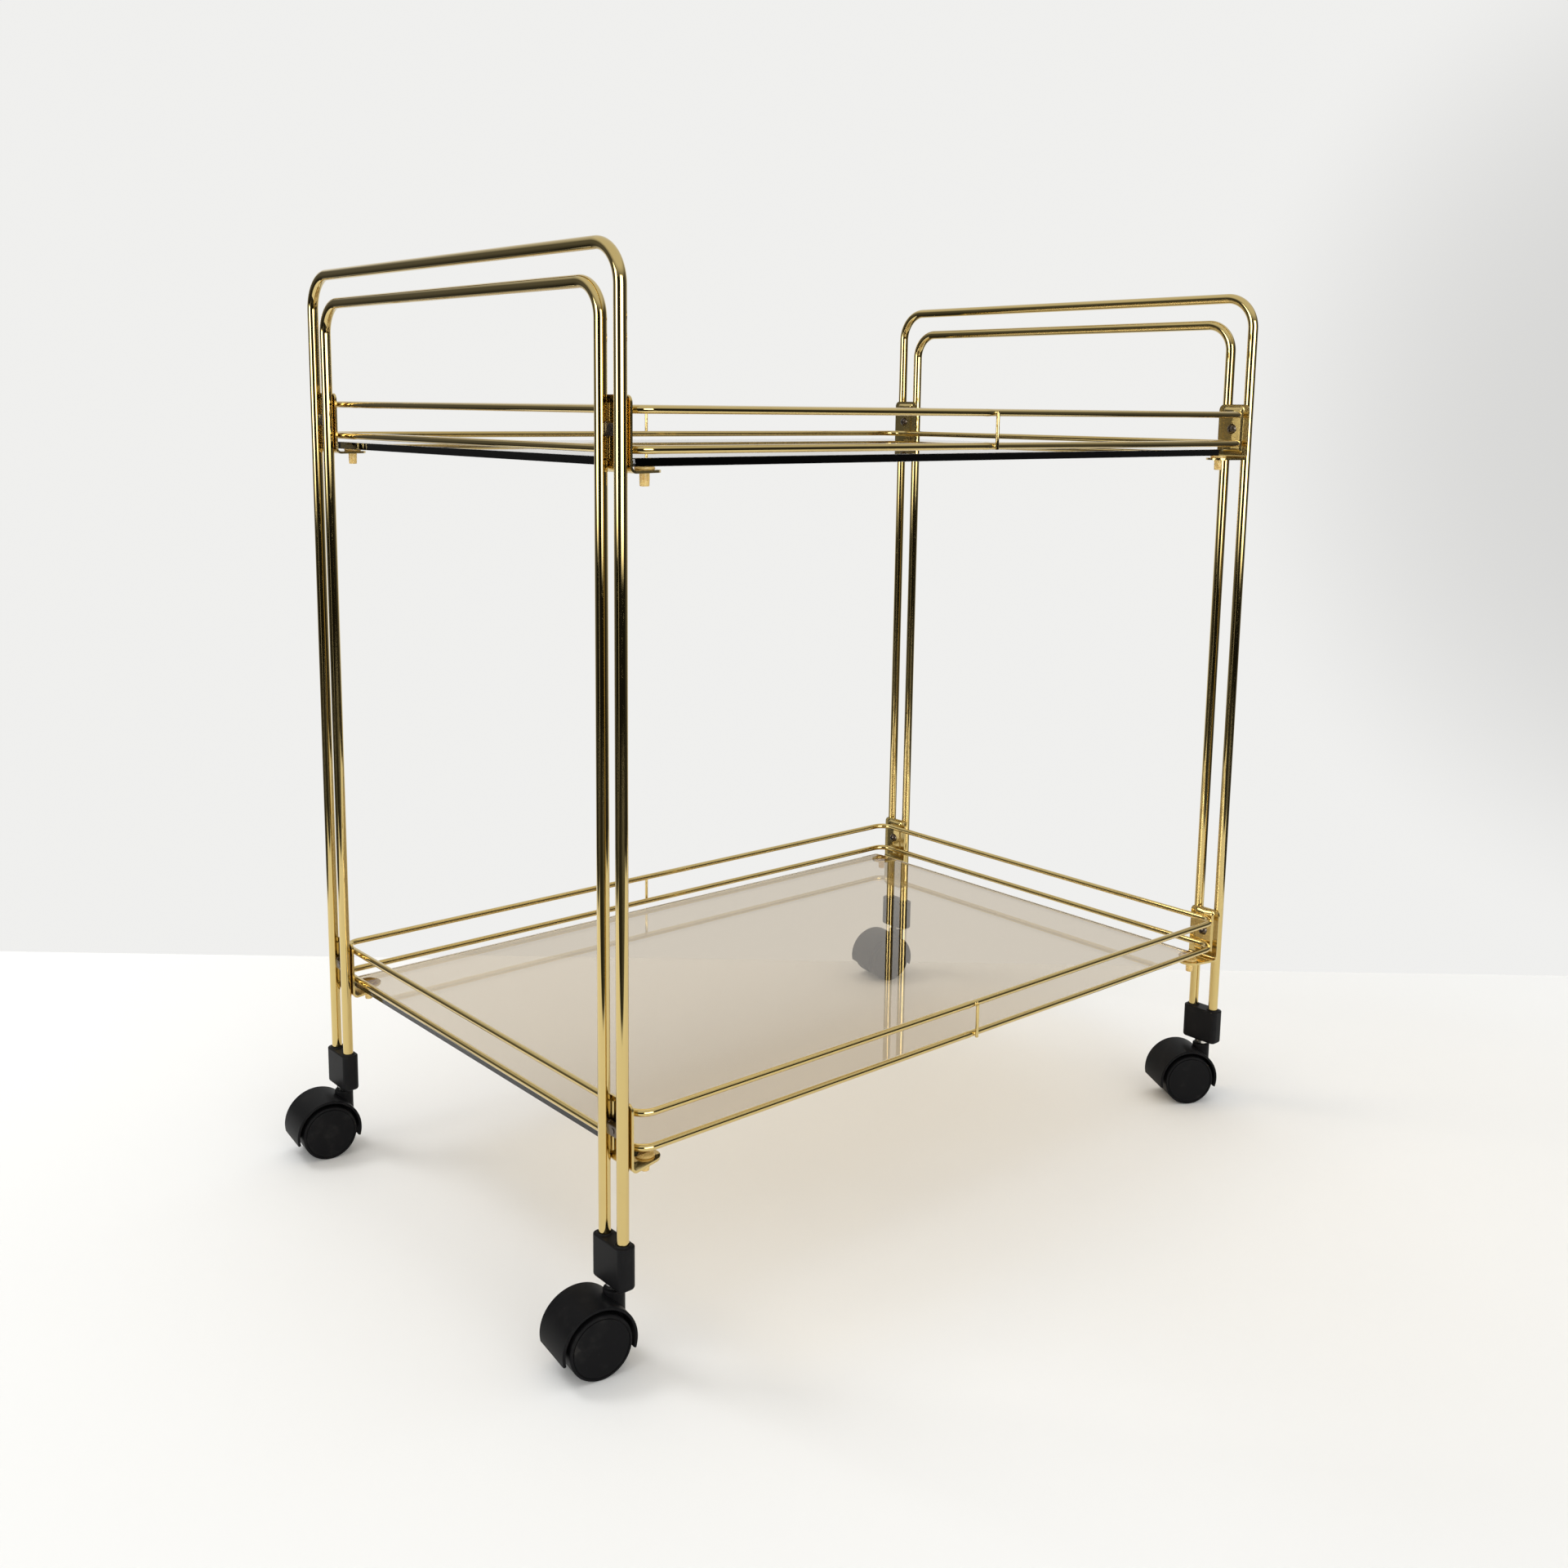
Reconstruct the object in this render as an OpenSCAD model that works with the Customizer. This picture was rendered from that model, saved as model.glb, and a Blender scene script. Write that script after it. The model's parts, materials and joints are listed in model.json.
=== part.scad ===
// Two-tier serving trolley: two end frames of bent brass-plated tube, two glass
// shelves inside wire galleries, and four hooded twin-wheel casters.
// Millimetres, +X along the shelves, +Y to the back, +Z up, floor at Z = 0.

/* [Frame] */
// Distance between the two end frames, tube centre to tube centre
frame_length = 600; // [450:5:800]
// Distance between the two legs of an outer hoop, centre to centre
outer_span = 382; // [300:2:500]
// Distance between the outer and the inner leg of a pair, centre to centre
leg_gap = 19; // [18:0.5:30]
// Height of an outer hoop's crown above the floor, to the tube's centre
outer_height = 658; // [630:2:800]
// How far an inner hoop's crown lies below the outer one
crown_drop = 20; // [14:0.5:40]
// Outside diameter of the hoop tube
tube_d = 7.6; // [6:0.1:9.4]
// Wall of the hoop tube
tube_wall = 1; // [0.6:0.1:1.5]
// Bend radius of an outer hoop, to the tube's centre
outer_bend = 24; // [14:1:40]
// Bend radius of an inner hoop, to the tube's centre
inner_bend = 21; // [12:1:40]
// Height of the bridges that join the two hoops of an end frame
bridge_h = 7; // [5:0.5:10]
// How far the bridges stand back from the outer side of the tubes
bridge_recess = 3; // [1:0.5:3.5]

/* [Shelves] */
// Height of the upper shelf's lower rail above the floor, to the wire's centre
upper_shelf_z = 546; // [400:2:570]
// Height of the lower shelf's lower rail above the floor, to the wire's centre
lower_shelf_z = 135; // [105:1:300]
// Height from a shelf's lower rail to its upper rail, centre to centre
rail_gap = 22; // [16:1:40]
// Diameter of the rail wire
rail_d = 4.8; // [3:0.1:6]
// Corner radius of the rails, to the wire's centre
rail_bend = 12; // [6:1:16]
// How far the long rails stand outside the centres of the outer legs
rail_out = 3.2; // [0:0.2:10]
// Diameter of the short struts between the two rails
strut_d = 2.4; // [1.6:0.2:4]
// Thickness of the glass
glass_t = 5; // [3:0.5:8]
// Radius of the glass's corners
glass_corner_r = 4; // [1:0.5:12]
// Space between the glass and the rails around it
glass_gap = 5; // [1:0.5:12]
// How far the loose glass lies off the middle, along the shelf
glass_shift_x = -4; // [-4:0.5:4]
// How far the loose glass lies off the middle, across the shelf
glass_shift_y = 4; // [-4:0.5:4]
// Space between the top of the glass and the underside of the lower rail
glass_drop = 2.4; // [0.5:0.1:8]

/* [Corner brackets] */
// Thickness of the bracket sheet
plate_t = 1.6; // [1:0.1:3]
// How far the pressed panel stands in front of its rim
panel_raise = 1.2; // [0.4:0.1:3]
// Width of the flat rim left and right of the pressed panel
panel_margin = 4.2; // [2:0.2:8]
// Run of the sloping sides of the pressed panel
panel_slope = 1.8; // [0.5:0.1:4]
// Height of the crease down the middle of the panel
crease_h = 0.6; // [0.2:0.1:1.5]
// How far the bracket reaches above the upper rail's centre
bracket_above = 8; // [4:0.5:16]
// Radius of the bracket's top corners
bracket_corner_r = 4.5; // [1:0.5:8]
// Inside radius of the bend between plate and tab
tab_bend_r = 2.5; // [1:0.5:5]
// Distance from the legs' centres to the bumper in the tab
pin_inset = 23; // [18:0.5:40]
// Radius of the tab's round end
tab_end_r = 9.3; // [6:0.1:10]

/* [Screws and bumpers] */
// Diameter of the corner screws
screw_d = 4; // [3:0.5:5]
// Diameter of the screws' domed heads
screw_head_d = 8; // [6:0.5:11]
// Height of the screws' domed heads
screw_head_h = 2.6; // [1.5:0.1:4]
// Diameter of a bumper's stem
bumper_d = 6; // [4:0.5:8]
// Diameter of a bumper's flange, which the glass rests on
bumper_flange_d = 12; // [8:0.5:16]
// Thickness of a bumper's flange
bumper_flange_t = 1.6; // [1:0.1:3]
// Length of a bumper's stem below the tab
bumper_tail = 7.8; // [3:0.2:12]

/* [Sockets] */
// Height of the sockets
socket_h = 28; // [24:1:40]
// Plastic around the tubes in a socket
socket_wall = 2.4; // [1.6:0.1:4]
// Depth of a leg in its socket
leg_depth = 20; // [14:1:24]
// Radius of the sockets' vertical edges
socket_edge_r = 4; // [1:0.5:5]
// Radius of the sockets' lower edges
socket_foot_r = 2.5; // [0.5:0.5:4]

/* [Casters] */
// Diameter of the caster wheels
wheel_d = 41; // [34:0.5:50]
// Width over the outer faces of a pair of wheels
wheel_track = 37; // [30:0.5:50]
// Distance from the swivel axis back to the wheel axle
caster_trail = 17; // [12:0.5:20]
// Space between the wheels' treads and the inside of the hood
hood_gap = 2.3; // [1.5:0.1:5]
// Wall of the hood
hood_wall = 2; // [1.2:0.1:3]
// Width of the hood
hood_w = 33.4; // [24:0.2:48]
// Angle by which the hood's back edge lies below the axle's level
hood_rear_drop = 12; // [0:1:20]
// Angle by which the hood's front edge lies below the axle's level
hood_front_drop = 17; // [0:1:25]
// Diameter of the neck that holds the stem
neck_d = 13.6; // [12:0.2:15]
// Height of the neck's top above the hood's crown
neck_rise = 1; // [0:0.2:6]
// Diameter of the wheel axle
axle_d = 5; // [4:0.5:6]
// Diameter of the steel stem in the socket
stem_d = 8; // [7:0.1:8.4]
// Diameter of the stem's collar
collar_d = 10.4; // [9:0.2:12]
// Height of the stem's collar, between the neck and the socket
collar_h = 2.9; // [1:0.1:6]
// Resting swivel of the front left caster
swivel_front_left = -8; // [-180:1:180]
// Resting swivel of the back left caster
swivel_back_left = -7; // [-180:1:180]
// Resting swivel of the front right caster
swivel_front_right = -30; // [-180:1:180]
// Resting swivel of the back right caster
swivel_back_right = -12; // [-180:1:180]

/* [Hidden] */
$fn = 64;

// Colours
brass = [0.80, 0.68, 0.36];
dark_steel = [0.16, 0.14, 0.12];
bright_steel = [0.78, 0.78, 0.76];
smoked = [0.36, 0.31, 0.26, 0.55];
black = [0.07, 0.07, 0.07];
amber = [0.90, 0.80, 0.42, 0.8];

// Corners as [side along X, side along Y, resting swivel]
front_left = [-1, -1, swivel_front_left];
back_left = [-1, 1, swivel_back_left];
front_right = [1, -1, swivel_front_right];
back_right = [1, 1, swivel_back_right];
corners = [front_left, back_left, front_right, back_right];

// Clearances and overlaps
slip = 0.1;     // a tube, stem or screw in its hole
running = 0.05; // a shaft in a part that turns on it
weld = 0.3;     // depth to which welded wires and bridges bite
over = 1;       // how far a cutting shape runs past a face

// The casters trail to -X, so the frame stands forward by their trail and the
// whole trolley is centred over the origin.
frame_x = caster_trail;
half_length = frame_length / 2;
inner_span = outer_span - 2 * leg_gap;
inner_height = outer_height - crown_drop;
pair_y = (outer_span + inner_span) / 4;

// Heights in the feet, built up from the floor
wheel_r = wheel_d / 2;
hood_r = wheel_r + hood_gap + hood_wall;
neck_top = wheel_r + hood_r + neck_rise;
collar_gap = 0.3;
collar_z = neck_top + collar_gap;
socket_z = collar_z + collar_h;
leg_foot_z = socket_z + socket_h - leg_depth;

// Distances from a leg pair's centre towards the middle of the shelf
seat_u = tube_d / 2;
crest_u = seat_u + plate_t + panel_raise + crease_h;
rail_u = crest_u - weld + rail_d / 2;

rail_half_x = half_length - rail_u;
rail_half_y = outer_span / 2 + rail_out;
glass_half_x = rail_half_x - rail_d / 2 - glass_gap;
glass_half_y = rail_half_y - rail_d / 2 - glass_gap;

// Heights in a shelf, from its lower rail's centre
glass_top = -rail_d / 2 - glass_drop;
glass_bottom = glass_top - glass_t;
tab_top = glass_bottom - bumper_flange_t;
tab_bottom = tab_top - plate_t;
bracket_top = rail_gap + bracket_above;
screw_level = rail_gap / 2;

// Bracket outline
bracket_w = leg_gap + tube_d;
panel_w = bracket_w - 2 * panel_margin;
panel_foot = tab_top + tab_bend_r + plate_t;
panel_head = bracket_top - panel_margin / 2;
screw_recess_w = 1;
screw_recess_l = 4.4;
screw_recess_deep = 1.1;
bridge_out = bridge_recess - tube_d / 2;
screw_past_bridge = 0.5;

// Caster
web_t = 5;
boss_r = 7;
wheel_side_gap = 0.5;
wheel_top_gap = 0.8;
wheel_in_s = web_t / 2 + wheel_side_gap;
wheel_out_s = wheel_track / 2;
rim_round = 1.1;
disc_r = wheel_r - 2.4;
disc_dome = 0.8;
disc_groove = 0.6;
axle_half = wheel_out_s - 4;
axle_end_gap = 0.6;
neck_foot = wheel_r + 6.5;
journal_d = 6;
journal_l = 8;
bore_foot = neck_top - journal_l;
journal_foot = bore_foot + collar_gap;
stem_head = socket_h - 11;
ring_h = 1.4;
ring_d = stem_d - 1.4;
ring_rise = 10;
ring_turn = 320;

// ---- placing ----

module at_pair(corner, z = 0) {
    translate([frame_x + corner[0] * half_length, corner[1] * pair_y, z])
        rotate([0, 0, corner[0] > 0 ? 180 : 0])
            children();
}

module at_caster(corner) {
    translate([frame_x + corner[0] * half_length, corner[1] * pair_y, 0])
        rotate([0, 0, corner[2]])
            children();
}

// Moves to the wheel axle, with Z along it and X pointing forward
module at_axle() {
    translate([-caster_trail, 0, wheel_r])
        rotate([90, 0, 0])
            children();
}

// ---- end frames ----

module tube_ring() {
    difference() {
        circle(d = tube_d);
        circle(d = tube_d - 2 * tube_wall);
    }
}

module tube(length) {
    linear_extrude(length) tube_ring();
}

module hoop(side, span, height, bend) {
    color(brass)
        translate([frame_x + side * half_length, 0, 0]) {
            for (s = [-1, 1])
                translate([0, s * span / 2, leg_foot_z]) tube(height - bend - leg_foot_z);
            for (s = [0, 1])
                mirror([0, s, 0])
                    translate([0, span / 2 - bend, height - bend])
                        rotate([90, 0, 90])
                            rotate_extrude(angle = 90) translate([bend, 0]) tube_ring();
            translate([0, bend - span / 2, height])
                rotate([-90, 0, 0]) tube(span - 2 * bend);
        }
}

// A block welded between the two tubes of a pair, tapped for a corner screw
module hoop_bridge() {
    difference() {
        translate([bridge_out, -leg_gap / 2, screw_level - bridge_h / 2])
            cube([tube_d / 2 - bridge_out, leg_gap, bridge_h]);
        for (s = [-1, 1])
            translate([0, s * leg_gap / 2, screw_level - bridge_h])
                cylinder(h = 2 * bridge_h, d = tube_d - 2 * weld);
        translate([-tube_d, 0, screw_level])
            rotate([0, 90, 0]) cylinder(h = 2 * tube_d, d = screw_d + 2 * slip);
    }
}

module hoop_bridges(side) {
    color(brass)
        for (corner = corners)
            if (corner[0] == side)
                for (z = [lower_shelf_z, upper_shelf_z])
                    at_pair(corner, z) hoop_bridge();
}

// ---- shelves ----

module rail_loop(z) {
    run_x = rail_half_x - rail_bend;
    run_y = rail_half_y - rail_bend;
    color(brass)
        translate([frame_x, 0, z]) {
            for (s = [-1, 1]) {
                translate([-run_x, s * rail_half_y, 0])
                    rotate([0, 90, 0]) cylinder(h = 2 * run_x, d = rail_d);
                translate([s * rail_half_x, run_y, 0])
                    rotate([90, 0, 0]) cylinder(h = 2 * run_y, d = rail_d);
            }
            for (mx = [0, 1], my = [0, 1])
                mirror([mx, 0, 0]) mirror([0, my, 0])
                    translate([run_x, run_y, 0])
                        rotate_extrude(angle = 90) translate([rail_bend, 0]) circle(d = rail_d);
        }
}

// Short uprights on the outer faces of the long rails, at the middle
module rail_struts(z) {
    color(brass)
        for (s = [-1, 1])
            translate([frame_x, s * (rail_half_y + rail_d / 2 + strut_d / 2 - weld), z - rail_d / 2])
                cylinder(h = rail_gap + rail_d / 2, d = strut_d);
}

module shelf_glass(z) {
    color(smoked)
        translate([frame_x + glass_shift_x, glass_shift_y, z + glass_bottom])
            linear_extrude(glass_t) {
                square([2 * glass_half_x, 2 * (glass_half_y - glass_corner_r)], center = true);
                square([2 * (glass_half_x - glass_corner_r), 2 * glass_half_y], center = true);
                for (sx = [-1, 1], sy = [-1, 1])
                    translate([sx * (glass_half_x - glass_corner_r), sy * (glass_half_y - glass_corner_r)])
                        circle(r = glass_corner_r);
            }
}

// ---- corner brackets ----

// Front view of the upright plate, with X as the width and Y as the height
module plate_outline() {
    shoulder = bracket_top - bracket_corner_r;
    translate([-bracket_w / 2, tab_top + tab_bend_r])
        square([bracket_w, shoulder - tab_top - tab_bend_r]);
    translate([bracket_corner_r - bracket_w / 2, tab_top + tab_bend_r])
        square([bracket_w - 2 * bracket_corner_r, bracket_top - tab_top - tab_bend_r]);
    for (s = [-1, 1])
        translate([s * (bracket_w / 2 - bracket_corner_r), shoulder]) circle(r = bracket_corner_r);
}

// A pressed panel with sloping sides and a crease, rising from u = 0 to lift
module pressed_panel(lift, grow) {
    half = panel_w / 2 + grow;
    foot = panel_foot - grow;
    head = panel_head + grow;
    tall = head - foot;
    intersection() {
        translate([0, 0, foot])
            linear_extrude(tall)
                polygon([[0, -half], [lift, panel_slope - half], [lift + crease_h, 0],
                         [lift, half - panel_slope], [0, half]]);
        translate([0, half, 0])
            rotate([90, 0, 0])
                linear_extrude(2 * half)
                    polygon([[0, foot], [lift + crease_h, foot + panel_slope],
                             [lift + crease_h, head - panel_slope], [0, head]]);
    }
}

// Plan of the tab: a root as wide as the plate, drawn in to a round end
module tab_outline() {
    root_u = seat_u + plate_t + tab_bend_r;
    reach = pin_inset - root_u;
    far = norm([reach, bracket_w / 2]);
    turn = atan2(bracket_w / 2, -reach) - acos(tab_end_r / far);
    touch = [pin_inset + tab_end_r * cos(turn), tab_end_r * sin(turn)];
    difference() {
        union() {
            polygon([[root_u, -bracket_w / 2], [touch[0], -touch[1]], touch, [root_u, bracket_w / 2]]);
            translate([pin_inset, 0]) circle(r = tab_end_r);
        }
        translate([pin_inset, 0]) circle(d = bumper_d + 2 * slip);
    }
}

module corner_bracket(corner, z) {
    color(brass)
        at_pair(corner, z)
            difference() {
                union() {
                    translate([seat_u, 0, 0])
                        rotate([90, 0, 90]) linear_extrude(plate_t) plate_outline();
                    translate([seat_u + plate_t, 0, 0]) pressed_panel(panel_raise, 0);
                    translate([seat_u + plate_t + tab_bend_r, bracket_w / 2, tab_top + tab_bend_r])
                        rotate([90, 0, 0]) rotate([0, 0, 180])
                            rotate_extrude(angle = 90)
                                translate([tab_bend_r, 0]) square([plate_t, bracket_w]);
                    translate([0, 0, tab_bottom]) linear_extrude(plate_t) tab_outline();
                }
                translate([seat_u - over, 0, 0]) pressed_panel(panel_raise + over, -plate_t / 2);
                translate([0, 0, screw_level])
                    rotate([0, 90, 0]) cylinder(h = pin_inset, d = screw_d + 2 * slip);
            }
}

// ---- screws and bumpers ----

module corner_screw() {
    head_r = screw_head_d / 2;
    dome_r = (pow(head_r, 2) + pow(screw_head_h, 2)) / (2 * screw_head_h);
    translate([0, 0, screw_level])
        rotate([0, 90, 0]) {
            translate([0, 0, bridge_out - screw_past_bridge])
                cylinder(h = crest_u + screw_past_bridge - bridge_out, d = screw_d);
            translate([0, 0, crest_u])
                difference() {
                    intersection() {
                        cylinder(h = screw_head_h, d = screw_head_d);
                        translate([0, 0, screw_head_h - dome_r]) sphere(r = dome_r, $fn = 128);
                    }
                    for (turn = [0, 90])
                        rotate([0, 0, turn])
                            translate([-screw_recess_l / 2, -screw_recess_w / 2,
                                       screw_head_h - screw_recess_deep])
                                cube([screw_recess_l, screw_recess_w, screw_head_h]);
                }
        }
}

module corner_screws(z) {
    color(dark_steel)
        for (corner = corners)
            at_pair(corner, z) corner_screw();
}

module glass_bumpers(z) {
    color(amber)
        for (corner = corners)
            at_pair(corner, z)
                translate([pin_inset, 0, 0]) {
                    translate([0, 0, tab_top]) cylinder(h = bumper_flange_t, d = bumper_flange_d);
                    translate([0, 0, tab_bottom - bumper_tail])
                        cylinder(h = bumper_tail + plate_t, d = bumper_d);
                }
}

// ---- sockets and stems ----

// A rectangle whose two lower corners are round
module foot_outline(width) {
    half = width / 2;
    translate([-half, socket_foot_r]) square([width, socket_h - socket_foot_r]);
    translate([socket_foot_r - half, 0]) square([width - 2 * socket_foot_r, socket_h]);
    for (s = [-1, 1])
        translate([s * (half - socket_foot_r), socket_foot_r]) circle(r = socket_foot_r);
}

module socket(corner) {
    long = leg_gap + tube_d + 2 * socket_wall;
    wide = tube_d + 2 * socket_wall;
    color(black)
        at_pair(corner, socket_z)
            difference() {
                intersection() {
                    linear_extrude(socket_h) {
                        square([wide, long - 2 * socket_edge_r], center = true);
                        square([wide - 2 * socket_edge_r, long], center = true);
                        for (sx = [-1, 1], sy = [-1, 1])
                            translate([sx * (wide / 2 - socket_edge_r), sy * (long / 2 - socket_edge_r)])
                                circle(r = socket_edge_r);
                    }
                    translate([0, long / 2, 0]) rotate([90, 0, 0]) linear_extrude(long) foot_outline(wide);
                    translate([-wide / 2, 0, 0])
                        rotate([90, 0, 90]) linear_extrude(wide) foot_outline(long);
                }
                for (s = [-1, 1])
                    translate([0, s * leg_gap / 2, socket_h - leg_depth])
                        cylinder(h = leg_depth + over, d = tube_d + 2 * slip);
                translate([0, 0, -over])
                    cylinder(h = stem_head + slip + over, d = stem_d + 2 * slip);
            }
}

// Steel stem: a shank in the socket, a collar under it and a journal in the neck
module stem(corner) {
    color(bright_steel)
        at_pair(corner) {
            difference() {
                translate([0, 0, socket_z]) cylinder(h = stem_head, d = stem_d);
                translate([0, 0, socket_z + ring_rise])
                    difference() {
                        cylinder(h = ring_h, d = stem_d + over);
                        cylinder(h = ring_h, d = ring_d);
                    }
            }
            translate([0, 0, collar_z]) cylinder(h = collar_h, d = collar_d);
            translate([0, 0, journal_foot]) cylinder(h = collar_z - journal_foot, d = journal_d);
        }
}

// Split rings in the stems' grooves, which hold the stems in their sockets
module stem_grip_rings() {
    color(bright_steel)
        for (corner = corners)
            at_pair(corner, socket_z + ring_rise + slip)
                rotate_extrude(angle = ring_turn)
                    translate([ring_d / 2 + slip, 0])
                        square([(stem_d - ring_d) / 2 - slip, ring_h - 2 * slip]);
}

// ---- casters ----

module hood_arc() {
    rotate([0, 0, -hood_front_drop])
        rotate_extrude(angle = 180 + hood_front_drop + hood_rear_drop)
            children();
}

// Room for the two wheels, on both sides of the web
module wheel_room() {
    at_axle()
        difference() {
            translate([0, 0, -wheel_track]) cylinder(h = 2 * wheel_track, r = wheel_r + wheel_top_gap);
            translate([0, 0, -web_t / 2]) cylinder(h = web_t, r = hood_r);
        }
}

module caster_body(corner) {
    inside_r = hood_r - hood_wall;
    color(black)
        at_caster(corner)
            difference() {
                union() {
                    at_axle() {
                        hood_arc() translate([inside_r, -hood_w / 2]) square([hood_wall, hood_w]);
                        hood_arc() translate([0, -web_t / 2]) square([inside_r + hood_wall / 2, web_t]);
                        translate([0, 0, -web_t / 2]) cylinder(h = web_t, r = boss_r);
                    }
                    difference() {
                        translate([0, 0, neck_foot]) cylinder(h = neck_top - neck_foot, d = neck_d);
                        wheel_room();
                    }
                }
                translate([0, 0, bore_foot])
                    cylinder(h = neck_top - bore_foot + over, d = journal_d + 2 * running);
                at_axle() translate([0, 0, -web_t]) cylinder(h = 2 * web_t, d = axle_d);
            }
}

module axle(corner) {
    color(bright_steel)
        at_caster(corner)
            at_axle() translate([0, 0, -axle_half]) cylinder(h = 2 * axle_half, d = axle_d);
}

// Half section of a wheel, with X as the radius and Y along the axle
module wheel_section() {
    dome_r = (pow(disc_r, 2) + pow(disc_dome, 2)) / (2 * disc_dome);
    face_s = wheel_out_s - disc_dome;
    hub_r = axle_d / 2 + running;
    difference() {
        union() {
            translate([0, wheel_in_s + rim_round])
                square([wheel_r, face_s - wheel_in_s - 2 * rim_round]);
            translate([0, wheel_in_s]) square([wheel_r - rim_round, face_s - wheel_in_s]);
            for (s = [wheel_in_s + rim_round, face_s - rim_round])
                translate([wheel_r - rim_round, s]) circle(r = rim_round);
            intersection() {
                translate([0, face_s - disc_dome]) square([disc_r, 2 * disc_dome]);
                translate([0, wheel_out_s - dome_r]) circle(r = dome_r, $fn = 256);
            }
        }
        translate([-over, wheel_in_s - over])
            square([hub_r + over, axle_half + axle_end_gap - wheel_in_s + over]);
        translate([disc_r, face_s - disc_groove]) square([disc_groove, 2 * disc_groove]);
    }
}

// A wheel on one end of the axle: facing -Y for way = 1, +Y for way = -1
module caster_wheel(corner, way) {
    color(black)
        at_caster(corner)
            at_axle()
                rotate([way > 0 ? 0 : 180, 0, 0])
                    rotate_extrude() wheel_section();
}

hoop(-1, outer_span, outer_height, outer_bend);  // outer_hoop_left
hoop(-1, inner_span, inner_height, inner_bend);  // inner_hoop_left
hoop(1, outer_span, outer_height, outer_bend);  // outer_hoop_right
hoop(1, inner_span, inner_height, inner_bend);  // inner_hoop_right
hoop_bridges(-1);  // hoop_bridges_left
hoop_bridges(1);  // hoop_bridges_right
rail_loop(upper_shelf_z + rail_gap);  // upper_shelf_top_rail
rail_loop(upper_shelf_z);  // upper_shelf_bottom_rail
rail_struts(upper_shelf_z);  // upper_shelf_struts
rail_loop(lower_shelf_z + rail_gap);  // lower_shelf_top_rail
rail_loop(lower_shelf_z);  // lower_shelf_bottom_rail
rail_struts(lower_shelf_z);  // lower_shelf_struts
corner_bracket(front_left, upper_shelf_z);  // upper_bracket_front_left
corner_bracket(back_left, upper_shelf_z);  // upper_bracket_back_left
corner_bracket(front_right, upper_shelf_z);  // upper_bracket_front_right
corner_bracket(back_right, upper_shelf_z);  // upper_bracket_back_right
corner_bracket(front_left, lower_shelf_z);  // lower_bracket_front_left
corner_bracket(back_left, lower_shelf_z);  // lower_bracket_back_left
corner_bracket(front_right, lower_shelf_z);  // lower_bracket_front_right
corner_bracket(back_right, lower_shelf_z);  // lower_bracket_back_right
corner_screws(upper_shelf_z);  // upper_corner_screws
corner_screws(lower_shelf_z);  // lower_corner_screws
glass_bumpers(upper_shelf_z);  // upper_glass_bumpers
glass_bumpers(lower_shelf_z);  // lower_glass_bumpers
shelf_glass(upper_shelf_z);  // upper_glass
shelf_glass(lower_shelf_z);  // lower_glass
socket(front_left);  // socket_front_left
socket(back_left);  // socket_back_left
socket(front_right);  // socket_front_right
socket(back_right);  // socket_back_right
stem(front_left);  // stem_front_left
stem(back_left);  // stem_back_left
stem(front_right);  // stem_front_right
stem(back_right);  // stem_back_right
stem_grip_rings();
caster_body(front_left);  // caster_body_front_left
caster_body(back_left);  // caster_body_back_left
caster_body(front_right);  // caster_body_front_right
caster_body(back_right);  // caster_body_back_right
axle(front_left);  // axle_front_left
axle(back_left);  // axle_back_left
axle(front_right);  // axle_front_right
axle(back_right);  // axle_back_right
caster_wheel(front_left, 1);  // wheel_out_front_left
caster_wheel(front_left, -1);  // wheel_in_front_left
caster_wheel(back_left, -1);  // wheel_out_back_left
caster_wheel(back_left, 1);  // wheel_in_back_left
caster_wheel(front_right, 1);  // wheel_out_front_right
caster_wheel(front_right, -1);  // wheel_in_front_right
caster_wheel(back_right, -1);  // wheel_out_back_right
caster_wheel(back_right, 1);  // wheel_in_back_right
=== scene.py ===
"""Serving trolley: polished brass hoops and rails, smoked glass shelves and black casters.

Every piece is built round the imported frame, in metres, and rides on one of its bodies.
"""

import json
import math

import bmesh
import bpy
from mathutils import Matrix, Vector


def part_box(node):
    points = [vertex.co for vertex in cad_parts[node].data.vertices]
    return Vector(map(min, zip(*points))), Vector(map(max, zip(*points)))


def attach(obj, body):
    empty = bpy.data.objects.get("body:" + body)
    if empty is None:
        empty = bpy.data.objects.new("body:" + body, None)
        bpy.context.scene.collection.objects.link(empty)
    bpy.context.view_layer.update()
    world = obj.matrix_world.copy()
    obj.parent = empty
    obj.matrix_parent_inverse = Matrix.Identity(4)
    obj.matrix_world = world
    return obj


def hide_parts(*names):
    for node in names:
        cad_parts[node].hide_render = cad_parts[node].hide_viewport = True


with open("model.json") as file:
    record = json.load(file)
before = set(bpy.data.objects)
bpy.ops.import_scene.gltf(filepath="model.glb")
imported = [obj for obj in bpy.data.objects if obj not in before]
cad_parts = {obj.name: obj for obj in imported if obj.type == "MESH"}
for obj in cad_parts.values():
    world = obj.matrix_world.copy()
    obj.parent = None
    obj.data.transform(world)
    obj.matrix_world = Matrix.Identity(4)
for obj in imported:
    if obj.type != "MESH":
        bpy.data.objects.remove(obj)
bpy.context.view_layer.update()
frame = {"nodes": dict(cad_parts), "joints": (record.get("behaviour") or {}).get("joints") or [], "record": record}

bl_info = {
    "name": "Serving trolley",
    "version": (1, 0, 0),
    "blender": (4, 5, 0),
    "location": "View3D > Sidebar > Trolley",
    "description": "Builds a two-tier serving trolley with brass hoops, glass shelves and casters",
    "category": "Add Mesh",
}

MM = 0.001
QUARTER = math.pi / 2
SHELVES = ("upper", "lower")
SIDES = ("left", "right")
CORNERS = ("front_left", "back_left", "front_right", "back_right")
ROOT = "frame"


# ---- the frame's own sizes

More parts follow.
